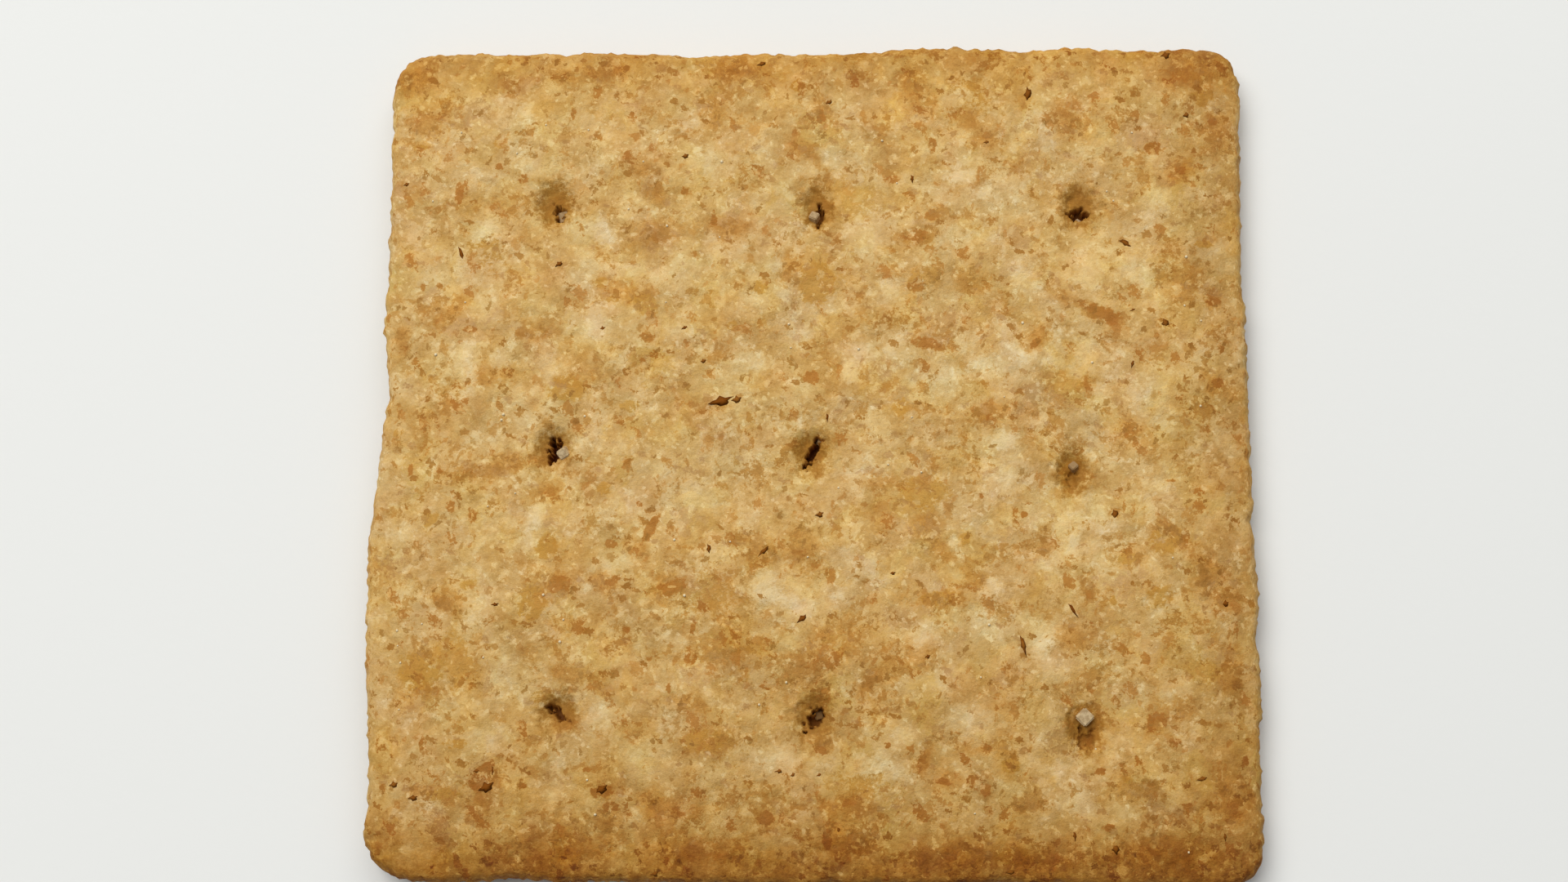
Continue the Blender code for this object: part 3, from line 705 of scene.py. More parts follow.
BARE = 0.685               # the place on the ramp of crumb without a mark
MOTTLE_WEIGHT = 0.46
GRAIN_WEIGHT = 0.04
PATCHES = (
    # size in mm, softness, seed, weight
    (1.10, 0.50, 5.0, 0.035), (0.62, 0.35, 11.0, 0.055),
)
FINE_PATCH = (0.27, 0.25, 23.0, 0.034)
AREAS = {
    # fray, low and high limit; where the brown areas are frayed outwards, the pale give way
    "brown": (2.4, -0.3, 0.8), "cream": (-2.4, -0.3, 0.8), "husk": (1.6, -0.2, 0.5),
}
BROWN_WEIGHT = -0.064
CREAM_WEIGHT = 0.052
FLAKE_LAYERS = (
    # size in mm, stretch, turn, share, more of them in brown areas, edge, seed,
    # place on the ramp, how much it covers, tint, and the tint of some of them
    (2.00, 1.3, 20.0, 0.10, 0.3, 0.18, 3.0, 0.625, 0.55, "amber", "straw"),
    (0.95, 1.6, -35.0, 0.12, 1.2, 0.12, 17.0, 0.580, 0.60, "orange", "husk"),
    (0.80, 2.0, 80.0, 0.28, -0.6, 0.18, 53.0, 0.755, 0.60, "cream", "cream"),
    (1.20, 1.5, 100.0, 0.08, 1.0, 0.15, 73.0, 0.620, 0.50, "husk", "straw"),
)
SPECK_LAYERS = (
    # the same for the small flakes that lie over the marks
    (0.50, 1.5, 60.0, 0.15, 1.6, 0.09, 29.0, 0.555, 0.66, "rust", "orange"),
    (0.34, 1.6, 130.0, 0.24, -0.4, 0.15, 61.0, 0.775, 0.60, "cream", "cream"),
    (0.30, 1.5, 15.0, 0.15, 1.4, 0.08, 41.0, 0.535, 0.66, "orange", "husk"),
    (0.22, 1.6, -60.0, 0.09, 1.0, 0.10, 83.0, 0.510, 0.55, "olive", "rust"),
    (0.17, 1.3, 35.0, 0.16, -0.3, 0.12, 97.0, 0.860, 0.48, "cream", "cream"),
)
FLAKE_RADIUS = (0.18, 0.30)   # the least in sizes of its cell, and how much more it may be
FLAKE_COVER = (1.2, -0.4)     # how dense a flake is at most, and how its chance thins it
FLAKE_SHIFT = 0.14            # how far its chance shifts its place on the ramp
OTHER_TINT = (0.35, 0.75)     # the chances between which a flake turns to its other tint
CLOT_LAYERS = (
    # size in mm, seed, limit, more of them in brown areas, place on the ramp, how much it
    # covers, tint
    (0.34, 7.0, 0.20, 0.10, 0.540, 0.62, "orange"),
    (0.22, 19.0, 0.24, 0.08, 0.510, 0.55, "olive"),
    (0.30, 37.0, 0.23, -0.06, 0.790, 0.60, "cream"),
)
CLOT_LUMPS = (4.0, 0.68)      # detail, roughness
CLOT_EDGE = 0.05
CLUSTER_SIZE = 5.0            # clots gather in clusters of so many times their size
CLUSTER_LUMPS = (2.0, 0.6)
CLUSTER_WEIGHT = 0.8
MARK_LAYERS = (
    # name, fray, low and high limit, place on the ramp, how much it covers, tint
    ("amber", 1.6, -0.05, 0.25, 0.605, 0.80, "amber"),
    ("husk", 2.6, -0.10, 0.50, 0.590, 0.48, "husk"),
    ("flour", 2.2, -0.15, 0.45, 0.820, 0.70, "cream"),
    ("bran", 2.1, -0.05, 0.22, 0.510, 0.85, "rust"),
)
PRICK_LAYERS = (
    # the same for a dimple, whose cover is painted shade, and for a hole's rim and bottom, darkened partly
    # as browned crumb and partly as painted shade
    ("prick", 1.1, 0.44, 0.77, 0.455, 0.80, "painted_dimple_shade"),
    ("hole", 0.5, 0.80, 1.10, 0.38, 0.80, "orange"),
    ("hole", 0.5, 1.10, 1.50, 0.23, 1.00, "orange"),
)
SUNK_SHADE = (1.1, 0.1, 0.9)  # fray, low and high limit of the shade round a prick
SUNK_WEIGHT = -0.05
TOAST_FRAY = 1.6
TOAST_WEIGHT = -0.10
# how far the painted shade darkens the crumb
PAINTED_SHADING_WEIGHT = -0.09
CRUMB_GLOSS = 0.15
CRUMB_ROUGHNESS = (0.62, 0.86)   # over the mottle's spread
MOTTLE_SPREAD = 0.2
BUMP_GRAIN = 0.6              # the grain's weight in the bump, beside the tear's
BUMP_STRENGTH = 0.55
BUMP_RELIEF = 0.08 * MM


def step_between(tree, value, low, high, to_low=0.0, to_high=1.0):
    """A smooth step of a value between two limits."""
    values = {"Value": value, "From Min": low, "From Max": high, "To Min": to_low, "To Max": to_high}
    return put(tree, "ShaderNodeMapRange", values, interpolation_type="SMOOTHSTEP").outputs["Result"]


def blend_colours(tree, factor, first, second, how="MIX"):
    """Two colours mixed by a factor."""
    values = {0: factor, 6: first, 7: second}   # 6 and 7 are the node's inputs for colours
    return put(tree, "ShaderNodeMix", values, data_type="RGBA", blend_type=how).outputs[2]


def mark(tree, name):
    """A number that the mesh keeps at each point."""
    return put(tree, "ShaderNodeAttribute", attribute_name=name).outputs["Fac"]


def lumps(tree, place, size, detail, roughness):
    """The outputs of a fractal noise over the sheet."""
    values = {"Vector": place, "Scale": 1 / size, "Detail": detail, "Roughness": roughness}
    return put(tree, "ShaderNodeTexNoise", values, noise_dimensions="2D").outputs


def flat_cloud(tree, place, *kind):
    """Fractal noise over the sheet, about zero."""
    return calc(tree, "SUBTRACT", lumps(tree, place, *kind)["Fac"], 0.5)


def patchwork(tree, place, size, softness, seed):
    """Soft-edged cells over the sheet that each have a level of their own, about zero."""
    values = {"Vector": arrow(tree, "ADD", place, (seed, seed, 0.0)), "Scale": 1 / size,
              "Smoothness": softness}
    cells = put(tree, "ShaderNodeTexVoronoi", values, voronoi_dimensions="2D", feature="SMOOTH_F1")
    level = put(tree, "ShaderNodeSeparateColor", {0: cells.outputs["Color"]}).outputs[0]
    return calc(tree, "SUBTRACT", level, 0.5)


def flake_group():
    """Shader group: scattered flakes of one size, and the chance that each one drew."""
    takes = {"Place": "Vector", "Size": "Float", "Stretch": "Float", "Turn": "Float", "Share": "Float",
             "Edge": "Float", "Seed": "Float", "Ragged": "Float"}
    gives = {"Mask": "Float", "Chance": "Float"}
    group, given = new_group("scattered_flakes", "ShaderNodeTree", takes, gives)
    moved = arrow(group, "ADD", given["Place"], given["Seed"])
    turned = put(group, "ShaderNodeVectorRotate", {"Vector": moved, "Angle": given["Turn"]},
                 rotation_type="Z_AXIS").outputs[0]
    long_side = calc(group, "MULTIPLY", given["Size"], given["Stretch"])
    cell = put(group, "ShaderNodeCombineXYZ", {"X": long_side, "Y": given["Size"], "Z": 1.0}).outputs[0]
    values = {"Vector": arrow(group, "DIVIDE", turned, cell), "Scale": 1.0}
    cells = put(group, "ShaderNodeTexVoronoi", values, voronoi_dimensions="2D").outputs
    dice = put(group, "ShaderNodeSeparateColor", {0: cells["Color"]}).outputs
    least, more = FLAKE_RADIUS
    radius = calc(group, "MULTIPLY_ADD", dice[1], more, least)
    low = calc(group, "SUBTRACT", radius, given["Edge"])
    high = calc(group, "ADD", radius, given["Edge"])
    reach = calc(group, "ADD", cells["Distance"], given["Ragged"])
    present = calc(group, "LESS_THAN", dice[0], given["Share"])
    mask = calc(group, "MULTIPLY", step_between(group, reach, low, high, 1.0, 0.0), present)
    put(group, "NodeGroupOutput", {"Mask": mask, "Chance": dice[2]})
    return group


FLAKES = flake_group()


def crumb_material():
    """Baked wholemeal crumb: cream to brown by a toasting ramp, speckled with bran."""
    material, tree, shader = new_material("baked_crumb", CRUMB_GLOSS)
    lean = put(tree, "ShaderNodeAttribute", attribute_name="lean").outputs["Vector"]
    flat = arrow(tree, "ADD", millimetres(tree), lean)
    warp = arrow(tree, "SUBTRACT", lumps(tree, flat, *WARP)["Color"], (0.5, 0.5, 0.5))
    bent = arrow(tree, "ADD", flat, arrow(tree, "SCALE", warp, BEND))
    swayed = arrow(tree, "ADD", flat, arrow(tree, "SCALE", warp, SWAY))
    tear = flat_cloud(tree, flat, *TEAR)
    mottle = flat_cloud(tree, flat, *MOTTLE)
    ragged = flat_cloud(tree, flat, *RAGGED)
    grain = flat_cloud(tree, flat, *GRAIN)
    shred = calc(tree, "MULTIPLY_ADD", grain, SHRED, tear)

    def follow(size):
        """The sheet as patterns of a size lie on it."""
        return bent if size > LARGE else swayed

    def patched(value, size, softness, seed, weight):
        """A value with patchwork added."""
        return calc(tree, "MULTIPLY_ADD", patchwork(tree, follow(size), size, softness, seed), weight, value)

    tone = calc(tree, "MULTIPLY_ADD", mottle, MOTTLE_WEIGHT, BARE)
    for row in PATCHES:
        tone = patched(tone, *row)
    fine = patched(calc(tree, "MULTIPLY", grain, GRAIN_WEIGHT), *FINE_PATCH)
    tints = dict.fromkeys(TINTS, 0.0)

    def torn(name, ruffle, fray, low, high):
        """Where a kept mark lies, with a rim that a noise has frayed."""
        return step_between(tree, calc(tree, "MULTIPLY_ADD", ruffle, fray, mark(tree, name)), low, high)

    def add(amount, weight, tint):
        """Let a mark darken the crumb and lend it its tint."""
        nonlocal tone
        tone = calc(tree, "MULTIPLY_ADD", amount, weight, tone)
        tints[tint] = calc(tree, "ADD", amount, tints[tint])

    def cover(amount, level, share, tint, other=None, chance=None):
        """Let a flake hide most of the crumb under it, and lend it one tint or the other."""
        nonlocal tone
        amount = calc(tree, "MULTIPLY", amount, share)
        bare = calc(tree, "SUBTRACT", 1.0, amount)
        tone = calc(tree, "MULTIPLY_ADD", calc(tree, "SUBTRACT", level, tone), amount, tone)
        for name in tints:
            tints[name] = calc(tree, "MULTIPLY", tints[name], bare)
        if other:
            picked = calc(tree, "MULTIPLY", amount, step_between(tree, chance, *OTHER_TINT))
            tints[other] = calc(tree, "ADD", picked, tints[other])
            amount = calc(tree, "SUBTRACT", amount, picked)
        tints[tint] = calc(tree, "ADD", amount, tints[tint])

    brown = torn("brown", ragged, *AREAS["brown"])
    cream = torn("cream", ragged, *AREAS["cream"])
    add(brown, BROWN_WEIGHT, "orange")
    add(cream, CREAM_WEIGHT, "cream")
    area = calc(tree, "ADD", calc(tree, "SUBTRACT", brown, cream), torn("husk", ragged, *AREAS["husk"]))

    def strew(layers):
        """Cover the crumb with layers of flakes."""
        for size, stretch, turn, usual, more, edge, seed, level, hides, tint, other in layers:
            values = {"Place": follow(size), "Size": size, "Stretch": stretch, "Turn": math.radians(turn),
                      "Share": calc(tree, "MULTIPLY_ADD", area, usual * more, usual), "Edge": edge,
                      "Seed": seed, "Ragged": shred}
            mask, chance = put(tree, "ShaderNodeGroup", values, node_tree=FLAKES).outputs
            most, thinned = FLAKE_COVER
            mask = calc(tree, "MULTIPLY", mask, calc(tree, "MULTIPLY_ADD", chance, thinned, most))
            level = calc(tree, "MULTIPLY_ADD", chance, FLAKE_SHIFT, level - FLAKE_SHIFT / 2)
            cover(mask, level, hides, tint, other, chance)

    def lay(layers):
        """Cover the crumb where marks lie; each hole has a darkness of its own, partly browned crumb and
        partly painted shade.
        """
        for name, fray, low, high, level, hides, tint in layers:
            amount = torn(name, tear, fray, low, high)
            if name == "hole":
                amount = calc(tree, "MULTIPLY", amount, mark(tree, "dark"))
            cover(amount, level, hides, tint)

    strew(FLAKE_LAYERS)
    lay(MARK_LAYERS)
    strew(SPECK_LAYERS)
    for size, seed, limit, more, level, hides, tint in CLOT_LAYERS:
        moved = arrow(tree, "ADD", swayed, (seed, seed, 0.0))
        clot = flat_cloud(tree, moved, size, *CLOT_LUMPS)
        cluster = flat_cloud(tree, moved, CLUSTER_SIZE * size, *CLUSTER_LUMPS)
        clot = calc(tree, "MULTIPLY_ADD", cluster, CLUSTER_WEIGHT, clot)
        clot = calc(tree, "MULTIPLY_ADD", area, more, clot)
        cover(step_between(tree, clot, limit - CLOT_EDGE, limit + CLOT_EDGE), level, hides, tint)
    uneven = calc(tree, "MULTIPLY_ADD", calc(tree, "ADD", mottle, tear), TOAST_FRAY, 1.0)
    add(calc(tree, "MULTIPLY", mark(tree, "toast"), uneven), TOAST_WEIGHT, "toast")
    # Painted shade: darker towards the bottom and the right, lighter on the outermost side rims.
    painted_shading = calc(tree, "MULTIPLY", mark(tree, "painted_shading"), uneven)
    tone = calc(tree, "MULTIPLY_ADD", painted_shading, PAINTED_SHADING_WEIGHT, tone)
    # Painted shade round each prick, in and around its dimple.
    tone = calc(tree, "MULTIPLY_ADD", torn("prick", tear, *SUNK_SHADE), SUNK_WEIGHT, tone)
    # Painted shade in each dimple; each hole's rim and bottom darkened partly as browned crumb and partly as
    # painted shade.
    lay(PRICK_LAYERS)
    tone = calc(tree, "ADD", tone, fine)

    ramp = put(tree, "ShaderNodeValToRGB", {"Fac": tone})
    stops = ramp.color_ramp.elements
    while len(stops) < len(CRUMB_RAMP):
        stops.new(0.5)
    for stop, (position, colour) in zip(stops, CRUMB_RAMP):
        stop.position = position
        stop.color = (*colour, 1.0)
    colour = ramp.outputs["Color"]
    for name, tint in TINTS.items():
        colour = blend_colours(tree, calc(tree, "MINIMUM", tints[name], 1.0), colour, tint, "MULTIPLY")
    shared, own = put(tree, "ShaderNodeSeparateColor", {0: lumps(tree, bent, *DRIFT)["Color"]}).outputs[:2]
    green = calc(tree, "MULTIPLY_ADD", shared, GREEN_DRIFT, 1 - 0.5 * GREEN_DRIFT)
    blue = calc(tree, "MULTIPLY_ADD", own, BLUE_DRIFT, 1 - 0.5 * (BLUE_DRIFT + SHARED_DRIFT))
    blue = calc(tree, "MULTIPLY_ADD", shared, SHARED_DRIFT, blue)
    strayed = put(tree, "ShaderNodeCombineColor", {0: 1.0, 1: green, 2: blue}).outputs[0]
    tree.links.new(blend_colours(tree, 1.0, colour, strayed, "MULTIPLY"), shader.inputs["Base Color"])

    rough = step_between(tree, mottle, -MOTTLE_SPREAD, MOTTLE_SPREAD, *CRUMB_ROUGHNESS)
    tree.links.new(rough, shader.inputs["Roughness"])
    values = {"Strength": BUMP_STRENGTH, "Distance": BUMP_RELIEF,
              "Height": calc(tree, "MULTIPLY_ADD", grain, BUMP_GRAIN, tear)}
    tree.links.new(put(tree, "ShaderNodeBump", values).outputs["Normal"], shader.inputs["Normal"])
    return material


# The relief of the crumb: its fine grain and its pores, which the sheet's own shape leaves out.
GRAIN_SIZE = 0.42 * MM
GRAIN_HEIGHT = 0.125 * MM
GRAIN_DETAIL = 3.0
GRAIN_ROUGHNESS = 0.6
PORE_SIZE = 0.55 * MM
PORE_DEPTH = 0.045 * MM
PORE_WALL = (0.12, 0.42)   # in pore sizes, from a pore's middle


def end_tree(tree, geometry, material):
    """End a Geometry Nodes tree with real meshes of one material."""
    real = put(tree, "GeometryNodeRealizeInstances", {"Geometry": geometry}).outputs[0]
    last = put(tree, "GeometryNodeSetMaterial", {"Geometry": real, "Material": material}).outputs[0]
    put(tree, "NodeGroupOutput", {0: last})


def relief_tree():
    """Geometry Nodes: raise the fine grain and the pores of the crumb along the normal."""
    takes = {"Geometry": "Geometry", "Grain Size": "Float", "Grain Height": "Float",
             "Pore Size": "Float", "Pore Depth": "Float", "Material": "Material"}
    tree, given = new_group("crumb_relief", "GeometryNodeTree", takes, {"Geometry": "Geometry"})
    place = put(tree, "GeometryNodeInputPosition").outputs[0]
    normal = put(tree, "GeometryNodeInputNormal").outputs[0]
    values = {"Vector": place, "Scale": calc(tree, "DIVIDE", 1.0, given["Grain Size"]),
              "Detail": GRAIN_DETAIL, "Roughness": GRAIN_ROUGHNESS}
    grain = put(tree, "ShaderNodeTexNoise", values).outputs["Fac"]
    values = {"Vector": place, "Scale": calc(tree, "DIVIDE", 1.0, given["Pore Size"])}
    pores = put(tree, "ShaderNodeTexVoronoi", values).outputs["Distance"]
    pit = step_between(tree, pores, *PORE_WALL, 1.0, 0.0)
    lift = calc(tree, "MULTIPLY", calc(tree, "SUBTRACT", grain, 0.5), given["Grain Height"])
    lift = calc(tree, "SUBTRACT", lift, calc(tree, "MULTIPLY", pit, given["Pore Depth"]))
    values = {"Geometry": given["Geometry"], "Offset": arrow(tree, "SCALE", normal, lift)}
    end_tree(tree, put(tree, "GeometryNodeSetPosition", values).outputs[0], given["Material"])
    return tree


def grown(name, data, tree, values):
    """Run a Geometry Nodes tree on a mesh and keep the result as a plain mesh."""
    item = placed(name, data)
    modifier = item.modifiers.new("grow", "NODES")
    modifier.node_group = tree
    for socket in tree.interface.items_tree:
        if socket.in_out == "INPUT" and socket.name in values:
            modifier[socket.identifier] = values[socket.name]
    graph = bpy.context.evaluated_depsgraph_get()
    plain = bpy.data.meshes.new_from_object(item.evaluated_get(graph))
    item.modifiers.clear()
    item.data = plain
    plain.name = name
    plain.shade_smooth()
    return item


dough_data = dough_sheet()
record_marks(dough_data)
dough = grown("dough", dough_data, relief_tree(),
              {"Grain Size": GRAIN_SIZE, "Grain Height": GRAIN_HEIGHT, "Pore Size": PORE_SIZE,
               "Pore Depth": PORE_DEPTH, "Material": crumb_material()})
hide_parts("cracker")
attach(dough, "root")


# Salt: coarse bevelled crystals that were strewn on the raw dough, fell into the pricks
# or beside them, and were baked on. Each is a worn cube, sunk by a third.
SALT = (
    # the prick it lies in, offset from its dimple, size, turn in degrees, how much painted shade dulls it
    # down in the prick
    (8, (-0.02, 0.44), 0.52, (4.0, -3.0, 45.0), 0.2),
    (0, (0.25, -0.37), 0.40, (18.0, 12.0, 20.0), 0.58),
    (1, (-0.15, -0.36), 0.34, (-14.0, 18.0, 62.0), 0.60),
    (3, (0.42, -0.16), 0.38, (16.0, -22.0, 30.0), 0.0),
    (4, (0.27, 0.52), 0.22, (10.0, 24.0, 70.0), 0.75),
    (5, (0.03, 0.22), 0.30, (-20.0, 10.0, 40.0), 0.95),
    (7, (0.09, 0.12), 0.30, (18.0, 14.0, 20.0), 1.0),
    (2, (0.07, -0.46), 0.28, (-10.0, -16.0, 55.0), 0.60),
)
SALT_SINK = 0.34
SALT_BEVEL = 0.10
SALT_BEVEL_STEPS = 2
SALT_WEAR = (0.5, 0.05)    # size and depth of the wear in mm
WEAR_DETAIL = 2.0
SALT_FOLD = 30             # in degrees; steeper folds stay sharp
SALT_COLOURS = (
    # two that a noise mixes, and the painted shade of the grains that lie down in the pricks
    (0.49, 0.345, 0.18, 1.0), (0.74, 0.565, 0.32, 1.0), (0.31, 0.178, 0.065, 1.0),
)
SALT_GLOSS = 0.12
SALT_ROUGHNESS = (0.22, 0.5)
SALT_CLEAR = 0.10
SALT_IOR = 1.54
FROST = (0.12, 4.0, 0.6)   # size in mm, detail, roughness
FROST_SPREAD = (0.35, 0.65)   # where in the noise one colour turns to the other
ROUGH_SPREAD = (0.3, 0.7)     # and where the roughness changes


def mixed_material(name, gloss, kind, spread, colours, roughness):
    """Two colours and a roughness that a cloud mixes, and a third colour by a piece's shade."""
    material, tree, shader = new_material(name, gloss)
    level = cloud(tree, *kind)
    colour = blend_colours(tree, step_between(tree, level, *spread), *colours[:2])
    # For salt the third colour is painted shade on grains down in the pricks; for bran it is the scrap's own
    # darkness.
    colour = blend_colours(tree, mark(tree, "shade"), colour, colours[2])
    tree.links.new(colour, shader.inputs["Base Color"])
    rough = step_between(tree, level, *ROUGH_SPREAD, *roughness)
    tree.links.new(rough, shader.inputs["Roughness"])
    return material, shader


def crystal():
    """A unit cube of salt with worn edges."""
    mesh = bmesh.new()
    bmesh.ops.create_cube(mesh, size=1.0)
    bmesh.ops.bevel(mesh, geom=mesh.edges[:], offset=SALT_BEVEL, segments=SALT_BEVEL_STEPS, affect="EDGES")
    return placed("crystal", mesh_data(mesh, "crystal"))


def scatter_tree():
    """Geometry Nodes: put a shape on every point, turned and sized as the point says."""
    takes = {"Geometry": "Geometry", "Shape": "Object", "Wear Size": "Float", "Wear Depth": "Float",
             "Material": "Material"}
    tree, given = new_group("scattered_pieces", "GeometryNodeTree", takes, {"Geometry": "Geometry"})
    shape = put(tree, "GeometryNodeObjectInfo", {"Object": given["Shape"]}).outputs["Geometry"]
    turn, size = (put(tree, "GeometryNodeInputNamedAttribute", {"Name": name},
                      data_type="FLOAT_VECTOR").outputs[0] for name in ("turn", "size"))
    spin = put(tree, "FunctionNodeEulerToRotation", {"Euler": turn}).outputs[0]
    points = put(tree, "GeometryNodeMeshToPoints", {"Mesh": given["Geometry"]}).outputs[0]
    values = {"Points": points, "Instance": shape, "Rotation": spin, "Scale": size}
    copies = put(tree, "GeometryNodeInstanceOnPoints", values).outputs[0]
    real = put(tree, "GeometryNodeRealizeInstances", {"Geometry": copies}).outputs[0]
    values = {"Scale": calc(tree, "DIVIDE", 1.0, given["Wear Size"]), "Detail": WEAR_DETAIL}
    wear = arrow(tree, "SUBTRACT", put(tree, "ShaderNodeTexNoise", values).outputs["Color"], (0.5, 0.5, 0.5))
    values = {"Geometry": real, "Offset": arrow(tree, "SCALE", wear, given["Wear Depth"])}
    end_tree(tree, put(tree, "GeometryNodeSetPosition", values).outputs[0], given["Material"])
    return tree


SCATTER = scatter_tree()


def scattered(name, shape, rows, wear, material):
    """Copies of a shape, one for each row of place, turn, size in metres and shade."""
    data = bpy.data.meshes.new(name)
    data.from_pydata([row[0] for row in rows], [], [])
    for column, label in ((1, "turn"), (2, "size")):
        values = [number for row in rows for number in row[column]]
        data.attributes.new(label, "FLOAT_VECTOR", "POINT").data.foreach_set("vector", values)
    store(data, "shade", np.array([row[3] for row in rows]))
    item = grown(name, data, SCATTER, {"Shape": shape, "Wear Size": wear[0] * MM,
                                       "Wear Depth": wear[1] * MM, "Material": material})
    bpy.data.objects.remove(shape, do_unlink=True)
    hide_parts("cracker")
    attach(item, "root")
    return item


grains = []
for number, offset, size, turn, shade in SALT:
    place = pricks[number].dimple + Vector(offset)
    height = top_height(*place) + size * (0.5 - SALT_SINK)
    grains.append((Vector((*place, height)) * MM, [math.radians(angle) for angle in turn],
                   [size * MM] * 3, shade))
clear_salt, shader = mixed_material("salt", SALT_GLOSS, FROST, FROST_SPREAD, SALT_COLOURS, SALT_ROUGHNESS)
shader.inputs["Transmission Weight"].default_value = SALT_CLEAR
shader.inputs["IOR"].default_value = SALT_IOR
salt = scattered("salt", crystal(), grains, SALT_WEAR, clear_salt)
salt.data.set_sharp_from_angle(angle=math.radians(SALT_FOLD))


# Bran: thin scraps of the wheat's dark husk that lie flush in the top, and were baked
# in with it. The darkest are placed as the photograph shows them.
DARK_BRAN = (
    # pixel across and down, length, width in pixels, turn in degrees, darkness
    (565, 312, 18, 4, 105, 0.9), (884, 491, 26, 11, 8, 0.9), (902, 489, 10, 8, 0, 0.6),
    (983, 757, 13, 7, 30, 0.9), (1314, 747, 16, 4, 120, 1.0), (1258, 116, 16, 8, 75, 0.7),
    (1427, 68, 9, 8, 0, 0.8), (1501, 739, 9, 7, 0, 0.9), (603, 944, 10, 3, 90, 1.0),
    (584, 944, 7, 4, 0, 0.8), (595, 964, 16, 11, 10, 0.9), (736, 967, 15, 9, 20, 0.9),
    (606, 740, 8, 4, 0, 0.9), (839, 401, 8, 5, 20, 0.9), (861, 442, 6, 5, 0, 0.8),
    (1427, 396, 10, 8, 90, 0.7), (1365, 630, 11, 8, 80, 0.8), (1117, 219, 8, 4, 90, 0.8),
    (839, 191, 7, 6, 0, 0.7), (933, 78, 10, 6, 10, 0.7), (1015, 125, 8, 5, 30, 0.7),
    (1453, 141, 8, 6, 0, 0.7), (1378, 298, 14, 6, 140, 0.8), (1388, 379, 8, 3, 20, 0.8),
    (1387, 445, 8, 3, 70, 0.8), (685, 323, 9, 6, 30, 0.8), (738, 402, 6, 4, 0, 0.8),
    (1013, 512, 10, 3, 90, 0.9), (868, 672, 10, 5, 90, 0.8), (935, 675, 14, 5, 40, 0.8),
    (1004, 630, 9, 7, 0, 0.7), (1136, 804, 5, 5, 0, 0.9), (1093, 702, 6, 4, 0, 0.8),
    (1316, 1023, 10, 4, 90, 0.9), (1366, 1040, 10, 8, 90, 0.7), (1500, 1025, 8, 3, 90, 0.9),
    (1238, 1068, 10, 5, 0, 0.8), (1473, 954, 12, 6, 0, 0.7), (954, 944, 8, 5, 0, 0.6),
    (971, 949, 5, 5, 0, 0.8), (1003, 949, 5, 5, 0, 0.8), (1027, 1017, 6, 4, 90, 0.9),
    (802, 1070, 8, 6, 0, 0.8), (506, 977, 10, 6, 0, 0.8), (482, 961, 9, 7, 0, 0.7),
    (498, 226, 6, 4, 0, 0.7), (1208, 174, 6, 4, 0, 0.7), (1253, 790, 20, 5, 100, 0.6),
)
BRAN_THICK = 0.07 * MM
BRAN_GROW = 1.25           # a scrap's rim lies well inside its size on most sides
BRAN_WEAR = (0.12, 0.08)   # size and depth of the wear in mm
BRAN_COLOURS = (
    # two that a noise mixes, and that of the burnt scraps
    (0.29, 0.098, 0.010, 1.0), (0.42, 0.185, 0.032, 1.0), (0.178, 0.049, 0.003, 1.0),
)
BRAN_GLOSS = 0.04
BRAN_ROUGHNESS = (0.6, 0.85)
BRAN_CLOUD = (0.35, 4.0, 0.7)   # size in mm, detail, roughness
BRAN_SPREAD = (0.35, 0.62)
SCRAP_SIDES = 11
SCRAP_REACH = (0.55, 1.2)  # of the nominal half size
SCRAP_SEED = 8


def scrap():
    """A flat scrap one unit long with an uneven rim, a little domed."""
    draw = random.Random(SCRAP_SEED)
    mesh = bmesh.new()
    crown = mesh.verts.new((0.0, 0.0, 0.5))
    belly = mesh.verts.new((0.0, 0.0, -0.5))
    rim = []
    for step in range(SCRAP_SIDES):
        angle = 2 * math.pi * step / SCRAP_SIDES
        reach = 0.5 * draw.uniform(*SCRAP_REACH)
        rim.append(mesh.verts.new((reach * math.cos(angle), reach * math.sin(angle), 0.0)))
    for step in range(SCRAP_SIDES):
        follow = (step + 1) % SCRAP_SIDES
        mesh.faces.new((crown, rim[step], rim[follow]))
        mesh.faces.new((belly, rim[follow], rim[step]))
    return placed("scrap", mesh_data(mesh, "scrap"))


SURFACE = BVHTree.FromPolygons([vert.co for vert in dough.data.vertices],
                               [face.vertices for face in dough.data.polygons])


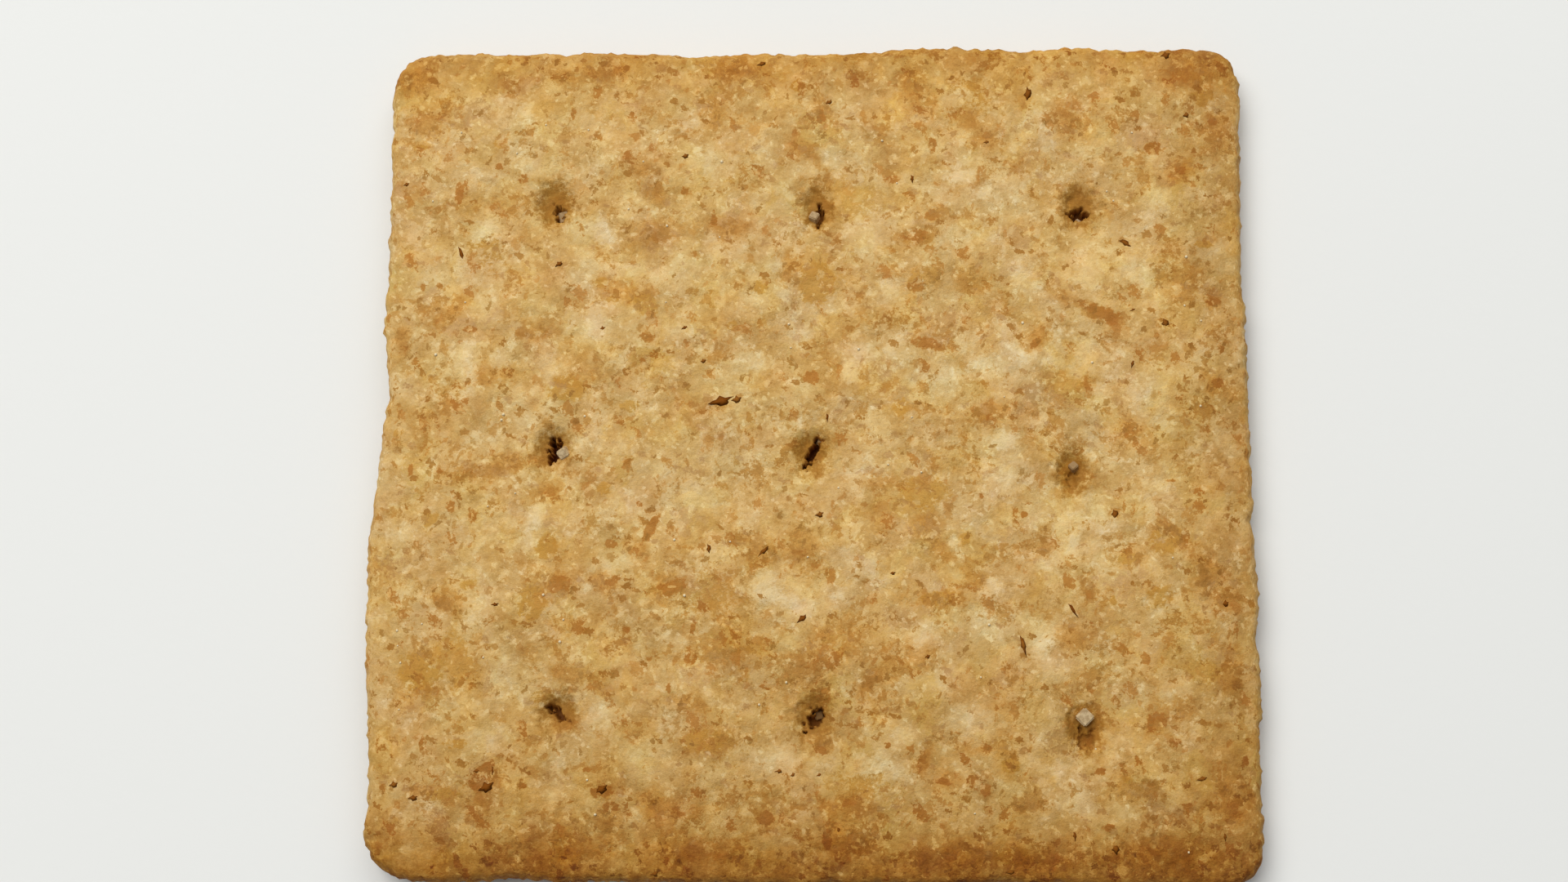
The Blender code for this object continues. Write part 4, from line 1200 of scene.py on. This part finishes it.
def lying(normal, turn):
    """The turn of a flat scrap that lies on a slope."""
    up = Vector((0, 0, 1))
    return (up.rotation_difference(normal) @ Quaternion(up, turn)).to_euler()


scraps = []
for pixel_x, pixel_y, length, width, turn, darkness in DARK_BRAN:
    aim = from_photo(pixel_x, pixel_y, 0.0) - EYE
    place, normal = SURFACE.ray_cast(EYE, aim.normalized())[:2]
    pixel = pixel_span(place) * BRAN_GROW
    scraps.append((place, lying(normal, math.radians(turn)), (length * pixel, width * pixel, BRAN_THICK),
                   darkness))
husk = mixed_material("bran", BRAN_GLOSS, BRAN_CLOUD, BRAN_SPREAD, BRAN_COLOURS, BRAN_ROUGHNESS)[0]
bran = scattered("bran", scrap(), scraps, BRAN_WEAR, husk)


# Salt dust: crumbs of the broken crystals, strewn over the top and baked into it, matt
# and warmed by the crumb around them.
DUST_GRAINS = 60
DUST_SIZES = (0.05, 0.10)
DUST_SEED = 12
DUST_INSET = 1.0
DUST_PROUD = 0.1           # how far a grain's middle lies over the crumb, in its sizes
DUST_WEAR = (0.06, 0.03)   # size and depth of the wear in mm
DUST_COLOUR = (0.80, 0.66, 0.41, 1.0)
DUST_ROUGHNESS = 0.7
DUST_GLOSS = 0.15

dusty, tree, shader = new_material("salt_dust", DUST_GLOSS)
shader.inputs["Base Color"].default_value = DUST_COLOUR
shader.inputs["Roughness"].default_value = DUST_ROUGHNESS

draw = random.Random(DUST_SEED)
crumbs = []
for grain in range(DUST_GRAINS):
    x = draw.uniform(DUST_INSET - WIDTH / 2, WIDTH / 2 - DUST_INSET) * MM
    y = draw.uniform(DUST_INSET - DEPTH / 2, DEPTH / 2 - DUST_INSET) * MM
    place, normal = SURFACE.ray_cast(Vector((x, y, 2 * MIDDLE_TOP * MM)), Vector((0, 0, -1)))[:2]
    size = draw.triangular(*DUST_SIZES, DUST_SIZES[0]) * MM
    turn = [draw.uniform(0, math.pi) for axis in range(3)]
    crumbs.append((place + DUST_PROUD * size * normal, turn, [size] * 3, 0.0))
dust = scattered("salt_dust", crystal(), crumbs, DUST_WEAR, dusty)
